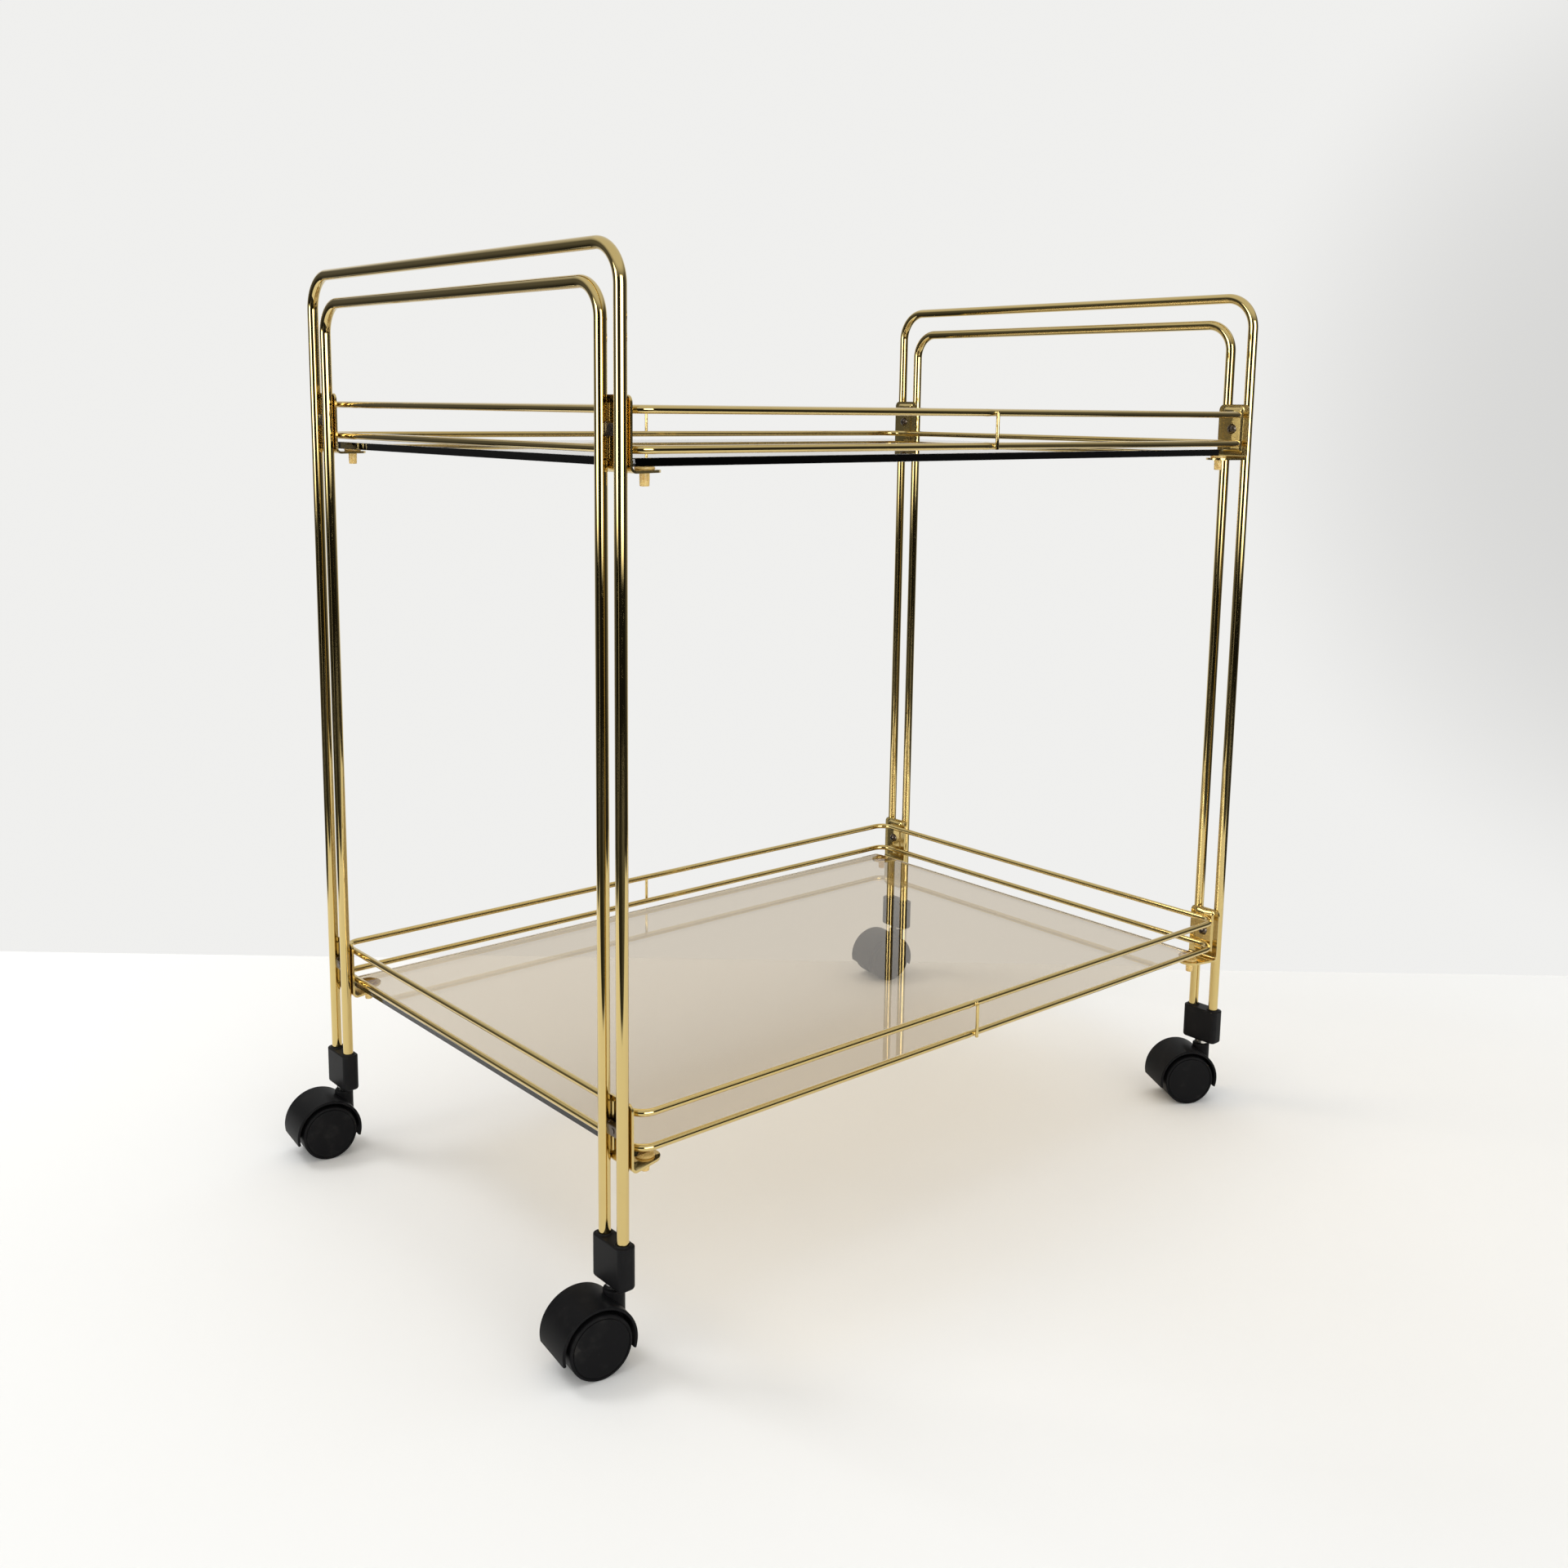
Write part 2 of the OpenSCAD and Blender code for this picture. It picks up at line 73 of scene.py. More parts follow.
def middle(node):
    low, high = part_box(node)
    return (low + high) / 2


def extent(node):
    low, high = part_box(node)
    return high - low


def spot(x, y, z):
    return Matrix.Translation((x, y, z))


TUBE_D = extent("outer_hoop_left").x
RAIL_D = extent("upper_shelf_top_rail").z
GLASS_T = extent("upper_glass").z
FRAME_X = middle("upper_shelf_top_rail").x
RAIL_GAP = middle("upper_shelf_top_rail").z - middle("upper_shelf_bottom_rail").z
WHEEL_R = extent("wheel_out_front_left").z / 2


def shelf_z(shelf):
    """Height of a shelf's lower rail, to the wire's centre."""
    return middle(f"{shelf}_shelf_bottom_rail").z


def is_right(corner):
    return middle(f"socket_{corner}").x > FRAME_X


def pair_matrix(corner, z=0.0):
    """Places a leg pair's pieces: +X towards the middle of the shelf, Y along the pair."""
    legs = middle(f"socket_{corner}")
    turn = math.pi if is_right(corner) else 0.0
    return spot(legs.x, legs.y, z) @ Matrix.Rotation(turn, 4, "Z")


def joint(name):
    return next(j for j in frame["joints"] if j["name"] == name)


def axle_matrix(corner):
    """Places a caster's pieces at the middle of its axle: +X forward, Y along the axle."""
    spin = joint(f"spin_out_{corner}")
    along = Vector(spin["axis"])
    turn = math.atan2(-along.x, along.y)
    return Matrix.Translation(spin["pos_m"]) @ Matrix.Rotation(turn, 4, "Z")


def caster_trail(corner):
    """How far the axle runs behind the swivel."""
    swivel = Vector(joint(f"swivel_{corner}")["pos_m"])
    spin = Vector(joint(f"spin_out_{corner}")["pos_m"])
    return (swivel - spin).xy.length


# ---- sizes and colours a user may change

def length(name, text, value, low=0.0001, high=1.0):
    return bpy.props.FloatProperty(
        name=name, description=text, default=value, min=low, max=high,
        precision=5, subtype="DISTANCE", unit="LENGTH",
    )


def colour(name, text, value):
    return bpy.props.FloatVectorProperty(
        name=name, description=text, default=value, min=0.0, max=1.0, size=3, subtype="COLOR",
    )


def share(name, text, value, high=1.0):
    return bpy.props.FloatProperty(
        name=name, description=text, default=value, min=0.0, max=high, subtype="FACTOR",
    )


def angle(name, text, degrees):
    return bpy.props.FloatProperty(
        name=name, description=text, default=math.radians(degrees), subtype="ANGLE", unit="ROTATION",
    )


def place_on_floor(name, text, value):
    return bpy.props.FloatVectorProperty(
        name=name, description=text, default=value, size=2, subtype="TRANSLATION", unit="LENGTH",
    )


class TrolleySizes(bpy.types.PropertyGroup):
    """Sizes of the finer shapes; the large ones come from the frame."""

    outer_bend: length("Outer bend", "Bend radius of an outer hoop, to the tube's centre", 24 * MM)
    inner_bend: length("Inner bend", "Bend radius of an inner hoop, to the tube's centre", 21 * MM)
    rail_bend: length("Rail bend", "Corner radius of a rail, to the wire's centre", 12 * MM)
    bridge_height: length("Bridge height", "Height of the blocks between a leg pair's tubes", 7 * MM)
    bridge_recess: length("Bridge recess", "How far the blocks stand back from the tubes", 3 * MM)
    plate: length("Bracket sheet", "Thickness of the bracket sheet", 1.6 * MM)
    panel_raise: length("Panel raise", "How far the pressed panel stands out", 1.2 * MM)
    panel_margin: length("Panel margin", "Width of the rim beside the pressed panel", 4.2 * MM)
    panel_slope: length("Panel slope", "Run of the pressed panel's sloping sides", 1.8 * MM)
    crease: length("Panel crease", "Height of the crease down the panel", 0.6 * MM)
    tab_bend: length("Tab bend", "Inside radius of the bend above the tab", 2.5 * MM)
    tab_end: length("Tab end", "Radius of the tab's round end", 9.3 * MM)
    pin_inset: length("Bumper inset", "Distance from the legs to the bumpers", 23 * MM)
    weld: length("Weld bead", "Half height of a weld bead", 0.9 * MM)
    socket_edge: length("Socket edge", "Radius of a socket's upright edges", 4 * MM)
    hood_radius: length("Hood radius", "Outside radius of a caster's hood", 24.8 * MM)
    hood_wall: length("Hood wall", "Wall of a caster's hood", 2 * MM)
    hood_half: length("Hood half width", "Half the width of a caster's hood", 16.7 * MM)
    web: length("Web", "Thickness of the web between two wheels", 5 * MM)
    neck: length("Neck", "Radius of a caster's neck", 6.8 * MM)


class TrolleyColours(bpy.types.PropertyGroup):
    """Colours and wear of the finishes."""

    brass: colour("Brass", "Polished plating", (0.66, 0.50, 0.19))
    tarnish: colour("Tarnish", "Dulled and spotted plating", (0.30, 0.18, 0.06))
    steel: colour("Steel", "Bright plated steel", (0.72, 0.71, 0.68))
    screw: colour("Screw", "Oxidised screw heads", (0.10, 0.075, 0.055))
    plastic: colour("Plastic", "Black moulded plastic", (0.006, 0.006, 0.0065))
    scuff: colour("Scuff", "Scuffed and dusty plastic", (0.020, 0.019, 0.018))
    bumper: colour("Bumper", "Yellowed clear plastic", (0.93, 0.70, 0.27))
    glass: colour("Glass", "Tint of the light that the glass lets through", (0.62, 0.50, 0.30))
    wear: share("Wear", "How much of the plating is dulled", 0.08)


class TrolleyStage(bpy.types.PropertyGroup):
    """Floor, light and camera."""

    eye: bpy.props.FloatVectorProperty(
        name="Camera place", description="Where the camera stands", size=3,
        default=(-0.7931, -0.9160, 0.5710), subtype="TRANSLATION", unit="LENGTH",
    )
    heading: angle("Heading", "Direction of view from +X towards +Y", 49.602)
    tilt: angle("Tilt", "Angle of view below the horizon", 9.271)
    roll: angle("Roll", "Turn of the camera about its line of view", 0.681)
    lens: bpy.props.FloatProperty(
        name="Lens", description="Focal length in millimetres on a 36 mm sensor",
        default=36.713, min=5.0, max=300.0,
    )
    floor: colour("Floor", "Pale floor", (0.82, 0.82, 0.812))
    sky: colour("Surroundings", "Pale surroundings", (0.87, 0.868, 0.855))
    far_left: place_on_floor("Far edge, left", "Where the far edge leaves the view", (-0.365, 0.815))
    far_right: place_on_floor("Far edge, right", "Where the far edge leaves the view", (0.862, -0.252))
    reach: length("Reach", "How far the floor runs to the sides and the front", 5.0, 1.0, 50.0)
    near: length("Lit part, near", "How far ahead of the camera it begins", 0.35, -5.0, 0.6)
    half_width: length("Lit part, half width", "Half its length along the far edge", 0.98, 0.5, 20.0)
    gloom: share("Gloom", "Brightness of the dim room in front, as mirrored", 0.012)


def sizes():
    return bpy.context.scene.trolley_sizes


def colours():
    return bpy.context.scene.trolley_colours


def stage_settings():
    return bpy.context.scene.trolley_stage


def link(made):
    bpy.context.scene.collection.objects.link(made)


# ---- node groups

def new_group(name, inputs, outputs):
    """An empty shader group with named sockets, each given as (name, type, default)."""
    group = bpy.data.node_groups.new(name, "ShaderNodeTree")
    add = group.interface.new_socket
    for title, kind, value in inputs:
        socket = add(name=title, in_out="INPUT", socket_type="NodeSocket" + kind)
        if value is not None:
            socket.default_value = value
    for title, kind in outputs:
        add(name=title, in_out="OUTPUT", socket_type="NodeSocket" + kind)
    return group, group.nodes.new("NodeGroupInput"), group.nodes.new("NodeGroupOutput")


class Tree:
    """Short names for adding and joining the nodes of one tree."""

    def __init__(self, tree):
        self.nodes = tree.nodes
        self.links = tree.links

    def put(self, socket, value):
        """Joins a node's output to the socket, or sets it to a plain value."""
        if isinstance(value, bpy.types.NodeSocket):
            self.links.new(value, socket)
        elif value is not None:
            socket.default_value = value

    def noise(self, vector, scale, detail=3.0, rough=0.55):
        node = self.nodes.new("ShaderNodeTexNoise")
        self.put(node.inputs["Vector"], vector)
        self.put(node.inputs["Scale"], scale)
        self.put(node.inputs["Detail"], detail)
        self.put(node.inputs["Roughness"], rough)
        return node.outputs["Fac"]

    def spots(self, vector, scale):
        node = self.nodes.new("ShaderNodeTexVoronoi")
        self.put(node.inputs["Vector"], vector)
        self.put(node.inputs["Scale"], scale)
        return node.outputs["Distance"]

    def ramp(self, value, low, high, at_low=0.0, at_high=1.0):
        node = self.nodes.new("ShaderNodeMapRange")
        node.interpolation_type = "SMOOTHSTEP"
        self.put(node.inputs["Value"], value)
        self.put(node.inputs["From Min"], low)
        self.put(node.inputs["From Max"], high)
        self.put(node.inputs["To Min"], at_low)
        self.put(node.inputs["To Max"], at_high)
        return node.outputs["Result"]

    def math(self, operation, one, two=None):
        node = self.nodes.new("ShaderNodeMath")
        node.operation = operation
        self.put(node.inputs[0], one)
        if two is not None:
            self.put(node.inputs[1], two)
        return node.outputs[0]

    def times(self, one, two):
        return self.math("MULTIPLY", one, two)

    def plus(self, one, two):
        return self.math("ADD", one, two)

    def dot(self, vector, direction):
        node = self.nodes.new("ShaderNodeVectorMath")
        node.operation = "DOT_PRODUCT"
        self.put(node.inputs[0], vector)
        self.put(node.inputs[1], direction)
        return node.outputs["Value"]

    def mix(self, factor, one, two):
        node = self.nodes.new("ShaderNodeMix")
        node.data_type = "RGBA"
        self.put(node.inputs["Factor"], factor)
        self.put(node.inputs["A"], one)
        self.put(node.inputs["B"], two)
        return node.outputs["Result"]

    def scaled(self, vector, scale):
        node = self.nodes.new("ShaderNodeMapping")
        self.put(node.inputs["Vector"], vector)
        self.put(node.inputs["Scale"], scale)
        return node.outputs["Vector"]


def opaque(rgb):
    return (rgb[0], rgb[1], rgb[2], 1.0)


def plating_group():
    """Polished plating: cloudy dull patches, fine rubbing marks and small pits."""
    group, given, made = new_group(
        "Worn plating",
        [("Vector", "Vector", None), ("Base", "Color", (0.8, 0.6, 0.3, 1)),
         ("Tarnish", "Color", (0.3, 0.2, 0.1, 1)), ("Wear", "Float", 0.3),
         ("Polish", "Float", 0.08), ("Patch Scale", "Float", 18.0)],
        [("Color", "Color"), ("Roughness", "Float"), ("Height", "Float")],
    )
    t = Tree(group)
    vector, wear = given.outputs["Vector"], given.outputs["Wear"]
    clouds = t.noise(vector, given.outputs["Patch Scale"], 6.0, 0.62)
    patches = t.times(t.ramp(clouds, 0.48, 0.74), wear)
    rubbed = t.noise(t.scaled(vector, (1.0, 1.0, 0.12)), 900.0, 2.0, 0.6)
    pits = t.ramp(t.spots(vector, 260.0), 0.05, 0.16, 1.0, 0.0)
    some = t.ramp(t.noise(vector, 60.0, 2.0, 0.5), 0.56, 0.66)
    wear_of_pits = t.math("MINIMUM", t.times(wear, 2.0), 1.0)
    pitted = t.times(t.times(pits, some), wear_of_pits)
    dulled = t.math("MINIMUM", t.plus(patches, pitted), 1.0)
    made_colour = t.mix(dulled, given.outputs["Base"], given.outputs["Tarnish"])
    t.put(made.inputs["Color"], made_colour)
    rough = t.plus(given.outputs["Polish"], t.times(dulled, 0.30))
    rough = t.plus(rough, t.times(t.ramp(rubbed, 0.52, 0.72), 0.05))
    t.put(made.inputs["Roughness"], rough)
    height = t.math("SUBTRACT", t.times(rubbed, 0.15), t.times(pitted, 0.8))
    t.put(made.inputs["Height"], height)
    return group


def plastic_group():
    """Moulded plastic: fine spark grain, dusty patches and pale worn edges."""
    group, given, made = new_group(
        "Moulded plastic",
        [("Vector", "Vector", None), ("Base", "Color", (0.02, 0.02, 0.02, 1)),
         ("Scuff", "Color", (0.06, 0.06, 0.06, 1)), ("Dust", "Float", 0.4),
         ("Gloss", "Float", 0.35), ("Grain Scale", "Float", 2200.0)],
        [("Color", "Color"), ("Roughness", "Float"), ("Height", "Float")],
    )
    t = Tree(group)
    vector = given.outputs["Vector"]
    grain = t.noise(vector, given.outputs["Grain Scale"], 2.0, 0.5)
    clouds = t.noise(vector, 70.0, 5.0, 0.6)
    marks = t.noise(t.scaled(vector, (1.0, 0.15, 1.0)), 700.0, 3.0, 0.7)
    edges = t.nodes.new("ShaderNodeNewGeometry").outputs["Pointiness"]
    worn = t.times(t.ramp(edges, 0.52, 0.62), t.ramp(clouds, 0.35, 0.6))
    dusty = t.times(t.ramp(clouds, 0.5, 0.78), given.outputs["Dust"])
    scratched = t.times(t.ramp(marks, 0.66, 0.74), given.outputs["Dust"])
    marked = t.math("MINIMUM", t.plus(t.plus(worn, dusty), scratched), 1.0)
    t.put(made.inputs["Color"], t.mix(marked, given.outputs["Base"], given.outputs["Scuff"]))
    rough = t.plus(given.outputs["Gloss"], t.times(marked, 0.25))
    rough = t.plus(rough, t.times(grain, 0.08))
    t.put(made.inputs["Roughness"], rough)
    t.put(made.inputs["Height"], t.math("SUBTRACT", grain, t.times(scratched, 0.5)))
    return group


def shared_group(name, builder):
    return bpy.data.node_groups.get(name) or builder()


# ---- materials

def new_material(name):
    material = bpy.data.materials.new(name)
    material.use_nodes = True
    tree = Tree(material.node_tree)
    shader = material.node_tree.nodes["Principled BSDF"]
    place = tree.nodes.new("ShaderNodeTexCoord").outputs["Object"]
    return material, tree, shader, place


def fill(node, values):
    """Sets a node's inputs by their titles."""
    for title, value in values.items():
        node.inputs[title].default_value = value


def add_relief(tree, shader, height, distance):
    relief = tree.nodes.new("ShaderNodeBump")
    fill(relief, {"Distance": distance, "Strength": 1.0})
    tree.put(relief.inputs["Height"], height)
    tree.put(shader.inputs["Normal"], relief.outputs["Normal"])


def add_finish(tree, shader, group, place, values, bump):
    """Joins a finish group's colour, roughness and height to the shader."""
    node = tree.nodes.new("ShaderNodeGroup")
    node.node_tree = group
    tree.put(node.inputs["Vector"], place)
    fill(node, values)
    tree.put(shader.inputs["Base Color"], node.outputs["Color"])
    tree.put(shader.inputs["Roughness"], node.outputs["Roughness"])
    add_relief(tree, shader, node.outputs["Height"], bump)


GLASS_DENSITY = 125.0
SHADOW_TINT = (0.89, 0.87, 0.82, 1.0)


def plated(name, base, tarnish, wear, polish, patches, bump=0.0000006):
    material, tree, shader, place = new_material(name)
    fill(shader, {"Metallic": 1.0, "Coat Weight": 0.6, "Coat Roughness": 0.03})
    add_finish(
        tree, shader, shared_group("Worn plating", plating_group), place,
        {"Base": opaque(base), "Tarnish": opaque(tarnish), "Wear": wear,
         "Polish": polish, "Patch Scale": patches}, bump,
    )
    return material


def moulded(name, dust, gloss, shine, grain, bump):
    material, tree, shader, place = new_material(name)
    fill(shader, {"Specular IOR Level": shine})
    add_finish(
        tree, shader, shared_group("Moulded plastic", plastic_group), place,
        {"Base": opaque(colours().plastic), "Scuff": opaque(colours().scuff), "Dust": dust,
         "Gloss": gloss, "Grain Scale": grain}, bump,
    )
    return material


def smoked_glass(name):
    """Clear glass that takes light away with its depth, so that its edges are dark."""
    material, tree, shader, place = new_material(name)
    fill(shader, {"Base Color": (0.97, 0.96, 0.94, 1.0), "Transmission Weight": 1.0, "IOR": 1.52})
    smears = tree.noise(tree.scaled(place, (1.0, 2.5, 1.0)), 9.0, 4.0, 0.6)
    tree.put(shader.inputs["Roughness"], tree.ramp(smears, 0.45, 0.8, 0.004, 0.045))
    depth = tree.nodes.new("ShaderNodeVolumeAbsorption")
    fill(depth, {"Color": opaque(colours().glass), "Density": GLASS_DENSITY})
    output = material.node_tree.nodes["Material Output"]
    tree.put(output.inputs["Volume"], depth.outputs["Volume"])
    path = tree.nodes.new("ShaderNodeLightPath")
    clear = tree.nodes.new("ShaderNodeBsdfTransparent")
    fill(clear, {"Color": SHADOW_TINT})
    either = tree.nodes.new("ShaderNodeMixShader")
    tree.put(either.inputs["Fac"], path.outputs["Is Shadow Ray"])
    tree.put(either.inputs[1], shader.outputs["BSDF"])
    tree.put(either.inputs[2], clear.outputs["BSDF"])
    tree.put(output.inputs["Surface"], either.outputs["Shader"])
    return material


def aged_clear_plastic(name):
    """Half-clear plastic, clouded from yellow to brown."""
    material, tree, shader, place = new_material(name)
    fill(shader, {"IOR": 1.53, "Transmission Weight": 0.45})
    clouds = tree.noise(place, 320.0, 4.0, 0.6)
    yellow = opaque(colours().bumper)
    brown = opaque([c * f for c, f in zip(colours().bumper, (0.72, 0.58, 0.4))])
    tree.put(shader.inputs["Base Color"], tree.mix(tree.ramp(clouds, 0.4, 0.75), yellow, brown))
    tree.put(shader.inputs["Roughness"], tree.ramp(clouds, 0.3, 0.7, 0.16, 0.34))
    add_relief(tree, shader, clouds, 0.06 * MM)
    return material


def material_makers():
    """How each slot's material is made from its name."""
    c = colours()
    rust, dull = [v * 0.4 for v in c.screw], [v * 0.4 for v in c.steel]
    return {
        "tube_brass": lambda n: plated(n, c.brass, c.tarnish, c.wear, 0.03, 14.0),
        "wire_brass": lambda n: plated(n, c.brass, c.tarnish, c.wear * 1.3, 0.045, 24.0),
        "sheet_brass": lambda n: plated(n, c.brass, c.tarnish, c.wear, 0.20, 70.0, 0.0000015),
        "screw_steel": lambda n: plated(n, c.screw, rust, 0.8, 0.32, 200.0, 0.00005),
        "stem_steel": lambda n: plated(n, c.steel, dull, 0.4, 0.18, 90.0),
        "smoked_glass": smoked_glass,
        "bumper_plastic": aged_clear_plastic,
        "socket_plastic": lambda n: moulded(n, 0.35, 0.34, 0.08, 1800.0, 0.00002),
        "hood_plastic": lambda n: moulded(n, 0.5, 0.38, 0.05, 1500.0, 0.00003),
        "wheel_plastic": lambda n: moulded(n, 0.65, 0.36, 0.05, 1300.0, 0.00003),
    }


def finish_of(slot):
    """The material for one of the record's slots, made the first time it is asked for."""
    found = bpy.data.materials.get(slot + "_finish")
    return found or material_makers()[slot](slot + "_finish")


# ---- modelling helpers

def circle_at(bm, radius, centre, normal, segments):
    """A ring of edges about centre, square to normal."""
    made = bmesh.ops.create_circle(bm, cap_ends=False, radius=radius, segments=segments)
    turn = Vector((0, 0, 1)).rotation_difference(Vector(normal)).to_matrix().to_4x4()
    bmesh.ops.transform(bm, matrix=Matrix.Translation(centre) @ turn, verts=made["verts"])
    return list({e for v in made["verts"] for e in v.link_edges})


def ring_verts(edges):
    return list({v for e in edges for v in e.verts})


def push(bm, edges, offset, swell=1.0):
    """Extrudes a ring by offset and scales it about its own middle."""
    made = bmesh.ops.extrude_edge_only(bm, edges=edges)["geom"]
    moved = [g for g in made if isinstance(g, bmesh.types.BMVert)]
    bmesh.ops.translate(bm, vec=Vector(offset), verts=moved)
    if swell != 1.0:
        centre = sum((v.co for v in moved), Vector()) / len(moved)
        bmesh.ops.scale(bm, vec=(swell,) * 3, space=Matrix.Translation(-centre), verts=moved)
    return [g for g in made if isinstance(g, bmesh.types.BMEdge)]


def bend(bm, edges, centre, axis, angle, steps):
    """Carries a ring round a bend and returns its last edges."""
    made = bmesh.ops.spin(
        bm, geom=edges + ring_verts(edges), cent=centre, axis=axis, dvec=(0, 0, 0),
        angle=angle, steps=steps, use_merge=False, use_duplicate=False,
    )
    return [g for g in made["geom_last"] if isinstance(g, bmesh.types.BMEdge)]


def cap(bm, edges):
    """Closes a ring with a face."""
    bmesh.ops.contextual_create(bm, geom=edges)


def lathe(bm, profile, place=Matrix(), steps=64):
    """Turns a profile of (radius, height) points into a closed shape about Z."""
    verts = [bm.verts.new((r, 0.0, h)) for r, h in profile]
    edges = [bm.edges.new(pair) for pair in zip(verts, verts[1:])]
    before = set(bm.verts) - set(verts)
    bmesh.ops.spin(
        bm, geom=verts + edges, cent=(0, 0, 0), axis=(0, 0, 1), dvec=(0, 0, 0),
        angle=2 * math.pi, steps=steps, use_merge=True, use_duplicate=False,
    )
    turned = [v for v in bm.verts if v not in before]
    bmesh.ops.remove_doubles(bm, verts=turned, dist=1e-6)
    turned = [v for v in bm.verts if v not in before]
    bmesh.ops.transform(bm, matrix=place, verts=turned)
    return turned


def round_off(bm, geom, offset, segments, affect="EDGES"):
    bmesh.ops.bevel(
        bm, geom=geom, offset=offset, offset_type="OFFSET", segments=segments,
        profile=0.5, affect=affect, clamp_overlap=True, material=-1,
    )


def soften(bm, offset, segments=3, angle=math.radians(30), verts=None):
    """Rounds the sharp edges of the whole shape, or of some of its vertices."""
    keep = None if verts is None else set(verts)
    sharp = [
        e for e in bm.edges
        if len(e.link_faces) == 2 and e.calc_face_angle(0.0) > angle
        and (keep is None or (e.verts[0] in keep and e.verts[1] in keep))
    ]
    round_off(bm, sharp, offset, segments)


def upright_edges(bm, tall):
    return [e for e in bm.edges if abs(e.verts[0].co.z - e.verts[1].co.z) > tall / 2]


def block(bm, size, place):
    """A box of that size about place; returns its vertices."""
    made = bmesh.ops.create_cube(bm, size=1.0)["verts"]
    bmesh.ops.scale(bm, vec=size, verts=made)
    bmesh.ops.transform(bm, matrix=place, verts=made)
    return made


def bead(bm, radii, place):
    """A squashed bead of weld metal."""
    made = bmesh.ops.create_uvsphere(bm, u_segments=12, v_segments=8, radius=1.0)
    bmesh.ops.scale(bm, vec=radii, verts=made["verts"])
    bmesh.ops.transform(bm, matrix=place, verts=made["verts"])


def keep_flats(piece):
    """Keeps the large flat faces flat where the shading runs on into a rounded edge."""
    normals = piece.modifiers.new("Flats", "WEIGHTED_NORMAL")
    normals.weight = 100
    normals.keep_sharp = True


SHARP_FROM = math.radians(32)


def new_piece(name, bm, body, slot, nodes=()):
    """Makes the finished object, gives it its finish and lets it ride on its body."""
    bmesh.ops.remove_doubles(bm, verts=bm.verts, dist=1e-7)
    bmesh.ops.recalc_face_normals(bm, faces=bm.faces)
    mesh = bpy.data.meshes.new(name)
    bm.to_mesh(mesh)
    bm.free()
    for face in mesh.polygons:
        face.use_smooth = True
    mesh.set_sharp_from_angle(angle=SHARP_FROM)
    piece = bpy.data.objects.new(name, mesh)
    link(piece)
    mesh.materials.append(finish_of(slot))
    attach(piece, body)
    if nodes:
        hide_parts(*nodes)
    return piece


# ---- frame

TUBE_SEGMENTS = 40
BEND_STEPS = 20


def build_hoop(which, side):
    node = f"{which}_hoop_{side}"
    low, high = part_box(node)
    radius = TUBE_D / 2
    x, front, back = (low.x + high.x) / 2, low.y + radius, high.y - radius
    crown, foot = high.z - radius, low.z
    curve = sizes().outer_bend if which == "outer" else sizes().inner_bend
    bm = bmesh.new()
    start = circle_at(bm, radius, (x, front, foot), (0, 0, 1), TUBE_SEGMENTS)
    edges = push(bm, start, (0, 0, crown - curve - foot))
    edges = bend(bm, edges, (x, front + curve, crown - curve), (1, 0, 0), -QUARTER, BEND_STEPS)
    edges = push(bm, edges, (0, back - front - 2 * curve, 0))
    edges = bend(bm, edges, (x, back - curve, crown - curve), (1, 0, 0), -QUARTER, BEND_STEPS)
    end = push(bm, edges, (0, 0, foot + curve - crown))
    cap(bm, start)
    cap(bm, end)
    new_piece(f"hoop_{which}_{side}", bm, ROOT, "tube_brass", [node])


def build_bridges(side):
    """Blocks between a leg pair's tubes, brazed to them along their edges."""
    bm = bmesh.new()
    legs = (extent("outer_hoop_left").y - extent("inner_hoop_left").y) / 2
    height, recess = sizes().bridge_height, sizes().bridge_recess
    wide = legs - TUBE_D + 1.4 * MM
    for corner in CORNERS:
        if is_right(corner) != (side == "right"):
            continue
        for shelf in SHELVES:
            level = shelf_z(shelf) + RAIL_GAP / 2
            place = pair_matrix(corner, level) @ spot(recess / 2, 0, 0)
            verts = block(bm, (TUBE_D - recess, wide, height), place)
            soften(bm, 0.5 * MM, 3, verts=verts)
            for across in (-1, 1):
                for up in (-1, 1):
                    at = place @ spot(0, across * (wide / 2 - 0.3 * MM), up * height / 2)
                    bead(bm, (1.5 * MM, 1.0 * MM, 0.9 * MM), at)
    # The blocks take the screws' dark finish, so they show dark between the tubes
    new_piece(f"bridges_{side}", bm, ROOT, "screw_steel", [f"hoop_bridges_{side}"])


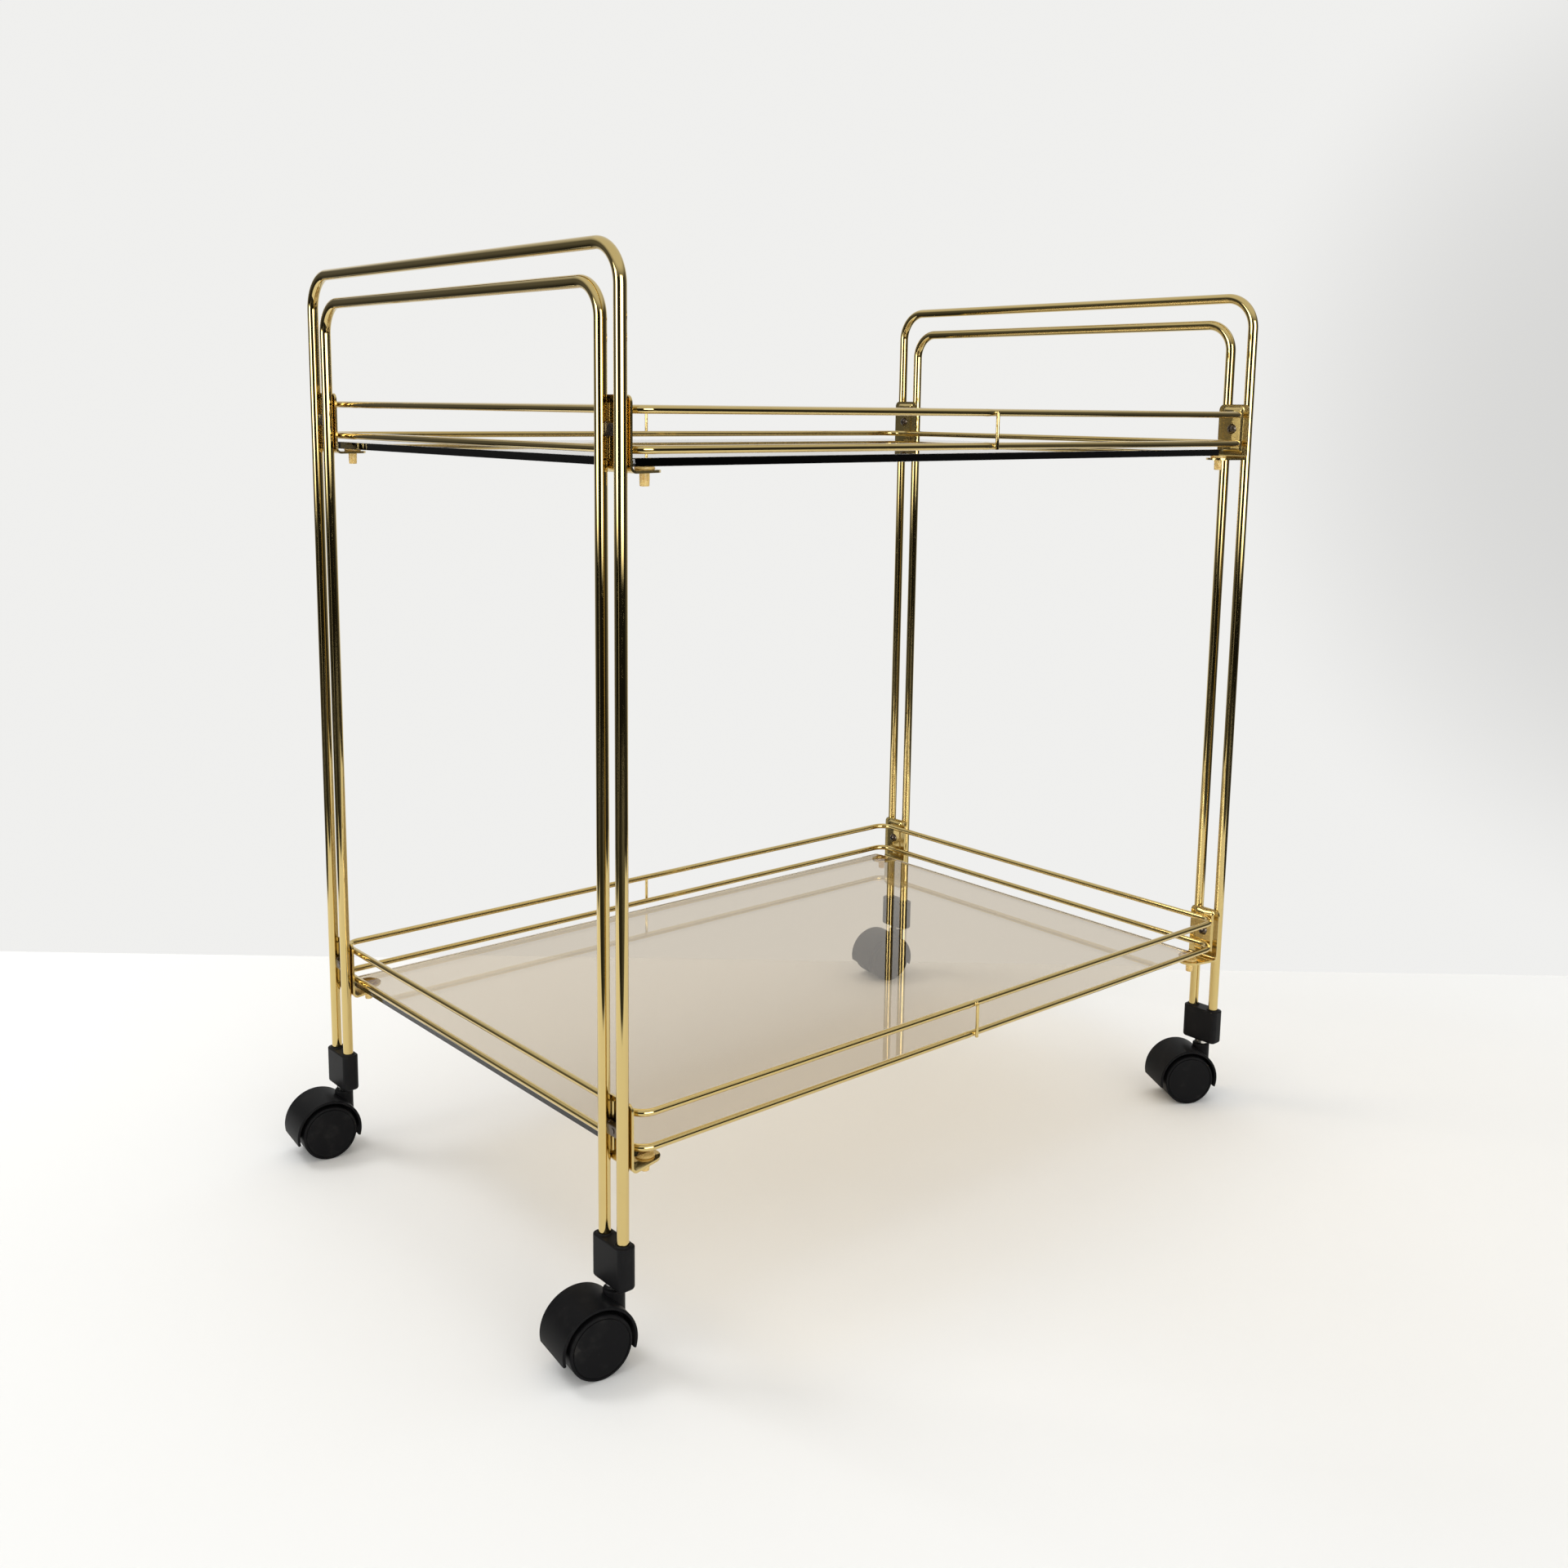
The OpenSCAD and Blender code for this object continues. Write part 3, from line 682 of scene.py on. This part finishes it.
def build_rail(shelf, which):
    """A closed wire loop, butt-welded near the middle of its front side."""
    node = f"{shelf}_shelf_{which}_rail"
    low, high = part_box(node)
    radius = RAIL_D / 2
    curve = sizes().rail_bend
    left, right = low.x + radius, high.x - radius
    front, back, z = low.y + radius, high.y - radius, (low.z + high.z) / 2
    seam = FRAME_X - 7 * MM
    swell, half = 1.07, 4 * MM
    bm = bmesh.new()
    start = circle_at(bm, radius * swell, (seam, front, z), (1, 0, 0), 28)
    edges = push(bm, start, (half * 0.6, 0, 0), 1 / swell ** 0.4)
    edges = push(bm, edges, (half * 0.4, 0, 0), 1 / swell ** 0.6)
    edges = push(bm, edges, (right - curve - seam - half, 0, 0))
    for centre, offset in (
        ((right - curve, front + curve, z), (0, back - front - 2 * curve, 0)),
        ((right - curve, back - curve, z), (left - right + 2 * curve, 0, 0)),
        ((left + curve, back - curve, z), (0, front - back + 2 * curve, 0)),
        ((left + curve, front + curve, z), (seam - half - left - curve, 0, 0)),
    ):
        edges = bend(bm, edges, centre, (0, 0, 1), QUARTER, 14)
        edges = push(bm, edges, offset)
    edges = push(bm, edges, (half * 0.4, 0, 0), swell ** 0.6)
    push(bm, edges, (half * 0.6, 0, 0), swell ** 0.4)
    bmesh.ops.remove_doubles(bm, verts=bm.verts, dist=1e-5)
    new_piece(f"{shelf}_{which}_rail", bm, ROOT, "wire_brass", [node])


def build_struts(shelf):
    """Short uprights on the long rails, each brazed to both wires."""
    node = f"{shelf}_shelf_struts"
    low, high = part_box(node)
    rail = middle(f"{shelf}_shelf_top_rail")
    rail_half = extent(f"{shelf}_shelf_top_rail").y / 2 - RAIL_D / 2
    radius = extent(node).x / 2
    tall = high.z - low.z
    bm = bmesh.new()
    for way in (-1, 1):
        y = low.y + radius if way < 0 else high.y - radius
        foot = [(0, 0), (0.75 * radius, 0), (0.95 * radius, 0.2 * MM), (radius, 0.6 * MM)]
        profile = foot + [(r, tall - h) for r, h in reversed(foot)]
        lathe(bm, profile, spot(FRAME_X, y, low.z), 20)
        seat = rail.y + way * (rail_half + RAIL_D / 2 - 0.2 * MM)
        for z in (rail.z, rail.z - RAIL_GAP):
            for side in (-1, 1):
                place = spot(FRAME_X + side * radius * 0.8, seat, z)
                bead(bm, (0.9 * MM, 0.7 * MM, 1.5 * MM), place)
    new_piece(f"{shelf}_struts", bm, ROOT, "wire_brass", [node])


# ---- brackets and their small parts

def smooth(value):
    """Rises gently from 0 to 1."""
    value = min(1.0, max(0.0, value))
    return value * value * (3 - 2 * value)


def build_bracket(shelf, corner):
    """Pressed sheet: a panel with a crease above, a bend, and a round-ended tab below."""
    s = sizes()
    node = f"{shelf}_bracket_{corner}"
    low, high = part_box(node)
    base = shelf_z(shelf)
    half = (high.y - low.y) / 2
    top, floor = high.z - base, low.z - base
    face = TUBE_D / 2 + s.plate
    tab_top = floor + s.plate
    bend_z = tab_top + s.tab_bend
    bend_u = face + s.tab_bend
    corner_r = 4.5 * MM
    steps = 36

    # each row: distance from the legs, height, half width, how far the sheet has turned
    rows = []
    for i in range(7):
        turn = math.radians(90 * i / 6)
        z, w = top - corner_r * (1 - math.cos(turn)), half - corner_r * (1 - math.sin(turn))
        rows.append((face, z, w, 0.0))
    for i in range(1, steps + 1):
        rows.append((face, top - corner_r + (bend_z - top + corner_r) * i / steps, half, 0.0))
    for i in range(1, 9):
        turn = math.radians(90 * i / 8)
        u, z = bend_u - s.tab_bend * math.cos(turn), bend_z - s.tab_bend * math.sin(turn)
        rows.append((u, z, half, turn))
    reach = s.pin_inset - bend_u
    far = math.hypot(reach, half)
    aim = math.atan2(half, -reach) - math.acos(s.tab_end / far)
    touch_u = s.pin_inset + s.tab_end * math.cos(aim)
    touch_w = s.tab_end * math.sin(aim)
    for i in range(1, 9):
        t = i / 8
        u, w = bend_u + (touch_u - bend_u) * t, half + (touch_w - half) * t
        rows.append((u, tab_top, w, QUARTER))
    for i in range(1, 15):
        turn = aim + (math.radians(8) - aim) * i / 14
        u, w = s.pin_inset + s.tab_end * math.cos(turn), s.tab_end * math.sin(turn)
        rows.append((u, tab_top, w, QUARTER))

    panel_half = half - s.panel_margin
    foot = tab_top + s.tab_bend + s.plate
    head = top - s.panel_margin / 2
    bm = bmesh.new()
    bmesh.ops.create_grid(bm, x_segments=steps, y_segments=len(rows) - 1, size=0.5)
    for vert in bm.verts:
        across = vert.co.x * 2
        u, z, wide, turn = rows[round((vert.co.y + 0.5) * (len(rows) - 1))]
        y = across * wide
        lift = smooth((panel_half - abs(y)) / s.panel_slope)
        lift *= smooth((z - foot) / s.panel_slope) * smooth((head - z) / s.panel_slope)
        lift *= s.panel_raise + s.crease * (1 - abs(y) / panel_half)
        if turn > 0:
            lift = 0.0
        vert.co = (u + lift, y, z)
    bmesh.ops.transform(bm, matrix=pair_matrix(corner, base), verts=bm.verts)
    piece = new_piece(f"{shelf}_bracket_{corner}_sheet", bm, ROOT, "sheet_brass", [node])
    inward = -1.0 if is_right(corner) else 1.0
    upright = max(piece.data.polygons, key=lambda p: p.center.z)
    if upright.normal.x * inward < 0:
        piece.data.flip_normals()
    sheet = piece.modifiers.new("Sheet", "SOLIDIFY")
    sheet.thickness = s.plate
    sheet.offset = -1.0
    edge = piece.modifiers.new("Edge", "BEVEL")
    edge.width = 0.3 * MM
    edge.segments = 3
    edge.limit_method = "ANGLE"
    edge.angle_limit = math.radians(50)
    keep_flats(piece)


def build_welds(shelf):
    """Fillets of braze where the rails cross the brackets."""
    s = sizes()
    crest = TUBE_D / 2 + s.plate + s.panel_raise + s.crease
    bm = bmesh.new()
    for corner in CORNERS:
        for rail_z in (0.0, RAIL_GAP):
            for up in (-1, 1):
                for across, size in ((-1.6 * MM, 1.0), (1.7 * MM, 0.85)):
                    place = pair_matrix(corner, shelf_z(shelf) + rail_z)
                    place = place @ spot(crest + 0.3 * MM, across, up * 1.5 * MM)
                    bead(bm, (0.9 * MM, 2.6 * MM * size, s.weld * size), place)
    new_piece(f"{shelf}_rail_welds", bm, ROOT, "sheet_brass")


def build_bumpers(shelf):
    """Soft stems through the tabs, each with a round flange under the glass."""
    s = sizes()
    node = f"{shelf}_glass_bumpers"
    low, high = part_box(node)
    tall = high.z - low.z
    stem, wide = 3 * MM, 6 * MM
    under, edge = tall - 1.6 * MM, 0.4 * MM
    profile = [
        (0, 0.35 * MM), (stem * 0.45, 0.3 * MM), (stem * 0.5, 0), (stem * 0.84, 0),
        (stem * 0.93, 0.35 * MM), (stem * 0.97, tall * 0.3), (stem, under),
        (wide - edge, under), (wide, under + edge), (wide, tall - edge), (wide - edge, tall), (0, tall),
    ]
    bm = bmesh.new()
    for corner in CORNERS:
        lathe(bm, profile, pair_matrix(corner, low.z) @ spot(s.pin_inset, 0, 0), 32)
    new_piece(f"{shelf}_bumpers", bm, ROOT, "bumper_plastic", [node])


def build_glass(shelf):
    """A plate with rounded corners and ground edges."""
    node = f"{shelf}_glass"
    low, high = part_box(node)
    bm = bmesh.new()
    block(bm, high - low, Matrix.Translation((low + high) / 2))
    round_off(bm, upright_edges(bm, GLASS_T), 4 * MM, 10)
    soften(bm, 0.5 * MM, 2, math.radians(60))
    keep_flats(new_piece(f"{shelf}_glass_plate", bm, ROOT, "smoked_glass", [node]))


# ---- feet

def build_socket(corner):
    """A moulded block with a raised rim round each of its two tubes."""
    node = f"socket_{corner}"
    low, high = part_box(node)
    size = high - low
    legs = size.y / 2 - size.x / 2
    bm = bmesh.new()
    block(bm, size, Matrix.Translation((low + high) / 2))
    round_off(bm, upright_edges(bm, size.z), sizes().socket_edge, 8)
    for level, radius, steps in ((low.z, 2.2 * MM, 6), (high.z, 0.9 * MM, 3)):
        rim = [
            e for e in bm.edges
            if all(abs(v.co.z - level) < 1e-6 for v in e.verts) and e.calc_face_angle(0.0) > 1.0
        ]
        round_off(bm, rim, radius, steps)
    bore = TUBE_D / 2 + 0.1 * MM
    profile = [(bore + r * MM, h * MM) for r, h in (
        (0, -1), (0, 0.45), (0.35, 0.8), (0.8, 0.75), (1.3, -0.1), (1.3, -1), (0, -1),
    )]
    for way in (-1, 1):
        lathe(bm, profile, pair_matrix(corner, high.z) @ spot(0, way * legs, 0), 40)
    keep_flats(new_piece(f"{corner}_socket", bm, ROOT, "socket_plastic", [node]))


def build_stem(corner):
    """A turned pin: shank in the socket, a collar below it and a journal in the caster."""
    node = f"stem_{corner}"
    low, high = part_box(node)
    socket_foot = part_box(f"socket_{corner}")[0].z
    collar = extent(node).x / 2
    shank, journal = 4 * MM, 3 * MM
    under = socket_foot - 2.9 * MM
    edge, lower_edge, tip = 0.4 * MM, 0.5 * MM, 0.6 * MM
    profile = [
        (0, low.z), (journal - edge, low.z), (journal, low.z + edge), (journal, under),
        (collar - lower_edge, under), (collar, under + lower_edge),
        (collar, socket_foot - edge), (collar - edge, socket_foot),
        (shank, socket_foot), (shank, high.z - tip), (shank - tip, high.z), (0, high.z),
    ]
    place = middle(f"socket_{corner}")
    bm = bmesh.new()
    lathe(bm, profile, spot(place.x, place.y, 0), 48)
    new_piece(f"{corner}_stem", bm, ROOT, "stem_steel", [node])


def build_caster_body(corner):
    """Hood over both wheels, web and boss between them, and the neck for the stem."""
    s = sizes()
    node = f"caster_body_{corner}"
    trail = caster_trail(corner)
    outer, inner = s.hood_radius, s.hood_radius - s.hood_wall
    first, sweep = math.radians(-17), math.radians(209)
    bm = bmesh.new()

    def arc(profile, rounded):
        """Sweeps a closed profile of (radius, along the axle) over the wheels."""
        verts = [bm.verts.new((r * math.cos(first), y, r * math.sin(first))) for r, y in profile]
        bm.faces.new(verts)
        round_off(bm, verts, rounded, 4, "VERTICES")
        face = next(f for f in bm.faces if all(len(e.link_faces) == 1 for e in f.edges))
        start = list(face.edges)
        bmesh.ops.delete(bm, geom=[face], context="FACES_ONLY")
        end = bend(bm, start, (0, 0, 0), (0, -1, 0), sweep, 60)
        cap(bm, start)
        cap(bm, end)

    wide = s.hood_half
    arc([(inner, -wide), (outer, -wide), (outer, wide), (inner, wide)], 0.8 * MM)
    half, into = s.web / 2, inner + 0.5 * MM
    arc([(1 * MM, -half), (into, -half), (into, half), (1 * MM, half)], 0.3 * MM)
    sideways = Matrix.Rotation(QUARTER, 4, "X")
    boss, edge = 7 * MM, 0.5 * MM
    lathe(bm, [(0, -half), (boss - edge, -half), (boss, edge - half),
               (boss, half - edge), (boss - edge, half), (0, half)], sideways, 40)

    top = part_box(node)[1].z - WHEEL_R
    shell = (inner + outer) / 2
    profile = [(0, top), (s.neck - 0.8 * MM, top), (s.neck - 0.25 * MM, top - 0.25 * MM),
               (s.neck, top - 0.8 * MM), (s.neck, top - 3 * MM), (s.neck, 0), (0, 0)]
    neck = lathe(bm, profile, spot(trail, 0, 0), 56)
    for vert in neck:
        if vert.co.z < 0.1 * MM:
            vert.co.z = math.sqrt(max(shell ** 2 - vert.co.x ** 2, (4 * MM) ** 2))
    bmesh.ops.transform(bm, matrix=axle_matrix(corner), verts=bm.verts)
    keep_flats(new_piece(f"{corner}_hood", bm, f"caster_{corner}", "hood_plastic", [node]))


def wheel_profile():
    """Half section of a wheel as (radius, distance out from the web's middle)."""
    inside, outside = 3.0 * MM, 18.5 * MM
    radius, disc = WHEEL_R, WHEEL_R - 2.4 * MM
    dome = 0.8 * MM
    face = outside - dome
    rim = 1.1 * MM
    turns = [math.radians(15 * i) for i in range(7)]
    points = [(2.55 * MM, inside), (radius - 3.2 * MM, inside), (radius - 2.6 * MM, inside + 0.5 * MM)]
    start = inside + 1.6 * MM
    points += [(radius - rim + rim * math.sin(t), start - rim * math.cos(t)) for t in turns]
    points += [(radius, (inside + face) / 2 + h * MM) for h in (-0.3, 0, 0.3)]
    points += [(radius - rim + rim * math.cos(t), face - rim + rim * math.sin(t)) for t in turns]
    groove = ((0.75, 0), (0.6, -0.15), (0.55, -0.6), (0.1, -0.6), (0, -0.4), (0, -0.05), (-0.2, 0.05))
    points += [(disc + r * MM, face + h * MM) for r, h in groove]
    ball = (disc ** 2 + dome ** 2) / (2 * dome)
    for i in range(2, 13):
        r = disc * (1 - i / 12)
        points.append((r, outside - ball + math.sqrt(ball ** 2 - r ** 2)))
    return points


def build_wheel(corner, which):
    """One of a caster's two wheels, its closed face outwards."""
    node = f"wheel_{which}_{corner}"
    here = axle_matrix(corner)
    away = here.inverted() @ middle(node)
    turn = Matrix.Rotation(-QUARTER if away.y > 0 else QUARTER, 4, "X")
    bm = bmesh.new()
    lathe(bm, wheel_profile(), here @ turn, 72)
    keep_flats(new_piece(f"{corner}_wheel_{which}", bm, node, "wheel_plastic", [node]))


# ---- stage

FADE_STARTS, FADE_ENDS = 1.5, 2.6
SOFT_EDGE = 0.04


def build_floor():
    """A pale floor that ends behind the trolley. Shiny pieces mirror only its lit part."""
    stage = stage_settings()
    far_left, far_right = Vector(stage.far_left), Vector(stage.far_right)
    along = (far_right - far_left).normalized()
    ahead = Vector((-along.y, along.x))
    near, far = stage.eye.xy - ahead * stage.reach, far_left.lerp(far_right, 0.5)
    side = along * stage.reach
    bm = bmesh.new()
    corners = (near - side, near + side, far + side, far - side)
    bm.faces.new([bm.verts.new((c.x, c.y, 0.0)) for c in corners])
    mesh = bpy.data.meshes.new("floor")
    bm.to_mesh(mesh)
    bm.free()
    floor = bpy.data.objects.new("floor", mesh)
    link(floor)
    material, tree, shader, place = new_material("pale_floor")
    pale = opaque(stage.floor)
    paler = opaque([v * 0.97 for v in stage.floor])
    cloudy = tree.mix(tree.noise(place, 3.0, 4.0, 0.5), pale, paler)
    forward = tree.dot(place, (ahead.x, ahead.y, 0.0))
    starts = ahead.dot(stage.eye.xy) + stage.near
    lit = tree.ramp(forward, starts - SOFT_EDGE, starts + SOFT_EDGE)
    aside = tree.dot(place, (along.x, along.y, 0.0))
    aside = tree.math("ABSOLUTE", tree.math("SUBTRACT", aside, along.dot(far)))
    ends = stage.half_width
    lit = tree.times(lit, tree.ramp(aside, ends - SOFT_EDGE, ends + SOFT_EDGE, 1.0, 0.0))
    # Painted shade: for glossy rays the floor outside its lit part takes the gloom grey as its colour, so shiny
    # pieces mirror it dark
    mirrored = tree.nodes.new("ShaderNodeLightPath").outputs["Is Glossy Ray"]
    dim = tree.times(mirrored, tree.math("SUBTRACT", 1.0, lit))
    tree.put(shader.inputs["Base Color"], tree.mix(dim, cloudy, opaque((stage.gloom,) * 3)))
    fill(shader, {"Roughness": 0.6, "Specular IOR Level": 0.08})
    outward = tree.nodes.new("ShaderNodeVectorMath")
    outward.operation = "LENGTH"
    tree.put(outward.inputs[0], place)
    fade = tree.ramp(outward.outputs["Value"], FADE_STARTS, FADE_ENDS, 1.0, 0.0)
    tree.put(shader.inputs["Alpha"], fade)
    mesh.materials.append(material)


# turn from the camera's side, half width, low and high edge, strength
WINDOWS = (
    (0.55, 0.36, -0.09, 0.42, 6.5),
    (-1.00, 0.24, -0.09, 0.38, 6.5),
    (-0.62, 0.03, -0.40, -0.05, 1.0),
)


def build_room(t, way):
    """What shiny pieces mirror: a pale wall behind, a ceiling and a dim room with windows."""
    stage = stage_settings()
    rear = Vector((math.cos(stage.heading), math.sin(stage.heading), 0.0))
    side = Vector((rear.y, -rear.x, 0.0))
    turned = t.math("ARCTAN2", t.dot(way, side), t.dot(way, -rear))
    height = t.dot(way, (0.0, 0.0, 1.0))
    towards = t.dot(way, rear)
    wall = t.ramp(towards, 0.50, 0.78)
    beside = t.ramp(towards, -0.45, 0.20, 0.0, 0.13)
    beside = t.times(beside, t.ramp(height, -0.50, 0.10, 0.30, 1.0))
    ceiling = t.times(t.ramp(height, 0.20, 0.72), 0.85)
    light = t.math("MAXIMUM", t.math("MAXIMUM", t.times(wall, 0.92), ceiling), beside)
    for middle_at, half, low, high, strength in WINDOWS:
        off = t.math("ABSOLUTE", t.math("SUBTRACT", turned, middle_at))
        pane = t.ramp(off, half * 0.8, half * 1.2, 1.0, 0.0)
        pane = t.times(pane, t.ramp(height, low, low + 0.06))
        pane = t.times(pane, t.ramp(height, high - 0.06, high, 1.0, 0.0))
        light = t.math("MAXIMUM", light, t.times(pane, strength))
    return t.math("MAXIMUM", light, stage.gloom)


def shaded_side(t, way):
    """The wall falls off a little beside the right of the view."""
    turned = stage_settings().heading - math.radians(32.0)
    return t.ramp(t.dot(way, (math.cos(turned), math.sin(turned), 0.0)), 0.955, 1.0, 1.0, 0.78)


def build_lights():
    """Pale surroundings, the room that shiny pieces mirror, and two soft lamps."""
    stage = stage_settings()
    world = bpy.data.worlds.new("surroundings")
    bpy.context.scene.world = world
    world.use_nodes = True
    t = Tree(world.node_tree)
    pale = world.node_tree.nodes["Background"]
    room = t.nodes.new("ShaderNodeBackground")
    for seen_as in (pale, room):
        fill(seen_as, {"Color": opaque(stage.sky)})
    way = t.nodes.new("ShaderNodeTexCoord").outputs["Generated"]
    t.put(room.inputs["Strength"], build_room(t, way))
    t.put(pale.inputs["Strength"], shaded_side(t, way))
    path = t.nodes.new("ShaderNodeLightPath")
    seen = t.math("MAXIMUM", path.outputs["Is Camera Ray"], path.outputs["Is Transmission Ray"])
    seen = t.math("MAXIMUM", seen, path.outputs["Is Diffuse Ray"])
    either = t.nodes.new("ShaderNodeMixShader")
    t.put(either.inputs["Fac"], seen)
    t.put(either.inputs[1], room.outputs["Background"])
    t.put(either.inputs[2], pale.outputs["Background"])
    output = world.node_tree.nodes["World Output"]
    t.put(output.inputs["Surface"], either.outputs["Shader"])
    for name, place, aim, size, power in (
        ("key_light", (-1.1, 1.5, 2.5), (0, 0, 0.2), (0.8, 0.8), 21.0),
        ("top_light", (0.3, 0.2, 2.6), (0, 0, 0.0), (2.2, 2.2), 10.0),
    ):
        lamp = bpy.data.lights.new(name, "AREA")
        lamp.shape = "RECTANGLE"
        lamp.size, lamp.size_y = size
        lamp.energy = power
        light = bpy.data.objects.new(name, lamp)
        light.visible_glossy = False
        light.location = place
        light.rotation_euler = (Vector(aim) - Vector(place)).to_track_quat("-Z", "Y").to_euler()
        link(light)


def build_camera():
    """The camera, from where it stands and how it is turned."""
    stage = stage_settings()
    lens = bpy.data.cameras.new("camera")
    lens.sensor_width = 36.0
    lens.lens = stage.lens
    lens.shift_x = 0.0110
    lens.shift_y = -0.0750
    lens.clip_start = 0.01
    lens.clip_end = 200.0
    camera = bpy.data.objects.new("camera", lens)
    ahead = Vector((
        math.cos(stage.tilt) * math.cos(stage.heading),
        math.cos(stage.tilt) * math.sin(stage.heading),
        -math.sin(stage.tilt),
    ))
    level = Vector((math.sin(stage.heading), -math.cos(stage.heading), 0.0))
    above = level.cross(ahead)
    right = math.cos(stage.roll) * level + math.sin(stage.roll) * above
    up = right.cross(ahead)
    turn = Matrix((right, up, -ahead)).transposed()
    camera.matrix_world = Matrix.Translation(stage.eye) @ turn.to_4x4()
    link(camera)
    bpy.context.scene.camera = camera


# ---- operators

class TROLLEY_OT_stage(bpy.types.Operator):
    """Adds the floor, the lights and the camera"""

    bl_idname = "trolley.stage"
    bl_label = "Stage"

    def execute(self, context):
        build_floor()
        build_lights()
        build_camera()
        context.scene.view_settings.view_transform = "Standard"
        return {"FINISHED"}


class TROLLEY_OT_hoops(bpy.types.Operator):
    """Bends the four hoops of the end frames"""

    bl_idname = "trolley.hoops"
    bl_label = "Hoops"

    def execute(self, context):
        for side in SIDES:
            for which in ("outer", "inner"):
                build_hoop(which, side)
        return {"FINISHED"}


class TROLLEY_OT_bridges(bpy.types.Operator):
    """Adds the blocks that join the two tubes of each leg pair"""

    bl_idname = "trolley.bridges"
    bl_label = "Bridge blocks"

    def execute(self, context):
        for side in SIDES:
            build_bridges(side)
        return {"FINISHED"}


class TROLLEY_OT_rails(bpy.types.Operator):
    """Bends the rails of both shelves and adds their struts and welds"""

    bl_idname = "trolley.rails"
    bl_label = "Rails"

    def execute(self, context):
        for shelf in SHELVES:
            for which in ("top", "bottom"):
                build_rail(shelf, which)
            build_struts(shelf)
            build_welds(shelf)
        return {"FINISHED"}


class TROLLEY_OT_brackets(bpy.types.Operator):
    """Presses the eight corner brackets"""

    bl_idname = "trolley.brackets"
    bl_label = "Brackets"

    def execute(self, context):
        for shelf in SHELVES:
            for corner in CORNERS:
                build_bracket(shelf, corner)
        return {"FINISHED"}


class TROLLEY_OT_bumpers(bpy.types.Operator):
    """Moulds the soft bumpers under the glass"""

    bl_idname = "trolley.bumpers"
    bl_label = "Bumpers"

    def execute(self, context):
        for shelf in SHELVES:
            build_bumpers(shelf)
        return {"FINISHED"}


class TROLLEY_OT_glass(bpy.types.Operator):
    """Cuts the two glass plates"""

    bl_idname = "trolley.glass"
    bl_label = "Glass"

    def execute(self, context):
        for shelf in SHELVES:
            build_glass(shelf)
        return {"FINISHED"}


class TROLLEY_OT_feet(bpy.types.Operator):
    """Moulds the sockets under the legs and adds their stems"""

    bl_idname = "trolley.feet"
    bl_label = "Sockets and stems"

    def execute(self, context):
        for corner in CORNERS:
            build_socket(corner)
            build_stem(corner)
        return {"FINISHED"}


class TROLLEY_OT_casters(bpy.types.Operator):
    """Moulds the hoods and wheels of the four casters"""

    bl_idname = "trolley.casters"
    bl_label = "Casters"

    def execute(self, context):
        for corner in CORNERS:
            build_caster_body(corner)
            for which in ("out", "in"):
                build_wheel(corner, which)
        return {"FINISHED"}


class TROLLEY_OT_fittings(bpy.types.Operator):
    """Gives the screws, axles and grip rings their finishes"""

    bl_idname = "trolley.fittings"
    bl_label = "Screws, axles and rings"

    def execute(self, context):
        for part in frame["record"]["subparts"]:
            node = frame["nodes"][part["node"]]
            if not node.material_slots:
                node.data.materials.append(None)
            node.material_slots[0].material = finish_of(part["material_slot"])
        return {"FINISHED"}


STEPS = (
    TROLLEY_OT_stage, TROLLEY_OT_hoops, TROLLEY_OT_bridges, TROLLEY_OT_rails, TROLLEY_OT_brackets,
    TROLLEY_OT_bumpers, TROLLEY_OT_glass, TROLLEY_OT_feet, TROLLEY_OT_casters, TROLLEY_OT_fittings,
)


class TROLLEY_PT_panel(bpy.types.Panel):
    """Lists the trolley's sizes, colours and building steps"""

    bl_idname = "TROLLEY_PT_panel"
    bl_label = "Serving trolley"
    bl_space_type = "VIEW_3D"
    bl_region_type = "UI"
    bl_category = "Trolley"

    def draw(self, context):
        for step in STEPS:
            self.layout.operator(step.bl_idname)
        for group in (sizes(), colours(), stage_settings()):
            box = self.layout.box()
            for name in group.__annotations__:
                box.prop(group, name)


CLASSES = (TrolleySizes, TrolleyColours, TrolleyStage, TROLLEY_PT_panel) + STEPS


def register():
    for cls in CLASSES:
        bpy.utils.register_class(cls)
    bpy.types.Scene.trolley_sizes = bpy.props.PointerProperty(type=TrolleySizes)
    bpy.types.Scene.trolley_colours = bpy.props.PointerProperty(type=TrolleyColours)
    bpy.types.Scene.trolley_stage = bpy.props.PointerProperty(type=TrolleyStage)


def unregister():
    del bpy.types.Scene.trolley_sizes
    del bpy.types.Scene.trolley_colours
    del bpy.types.Scene.trolley_stage
    for cls in reversed(CLASSES):
        bpy.utils.unregister_class(cls)


def main():
    register()
    bpy.ops.trolley.stage()
    bpy.ops.trolley.hoops()
    bpy.ops.trolley.bridges()
    bpy.ops.trolley.rails()
    bpy.ops.trolley.brackets()
    bpy.ops.trolley.bumpers()
    bpy.ops.trolley.glass()
    bpy.ops.trolley.feet()
    bpy.ops.trolley.casters()
    bpy.ops.trolley.fittings()


if __name__ == "__main__":
    main()
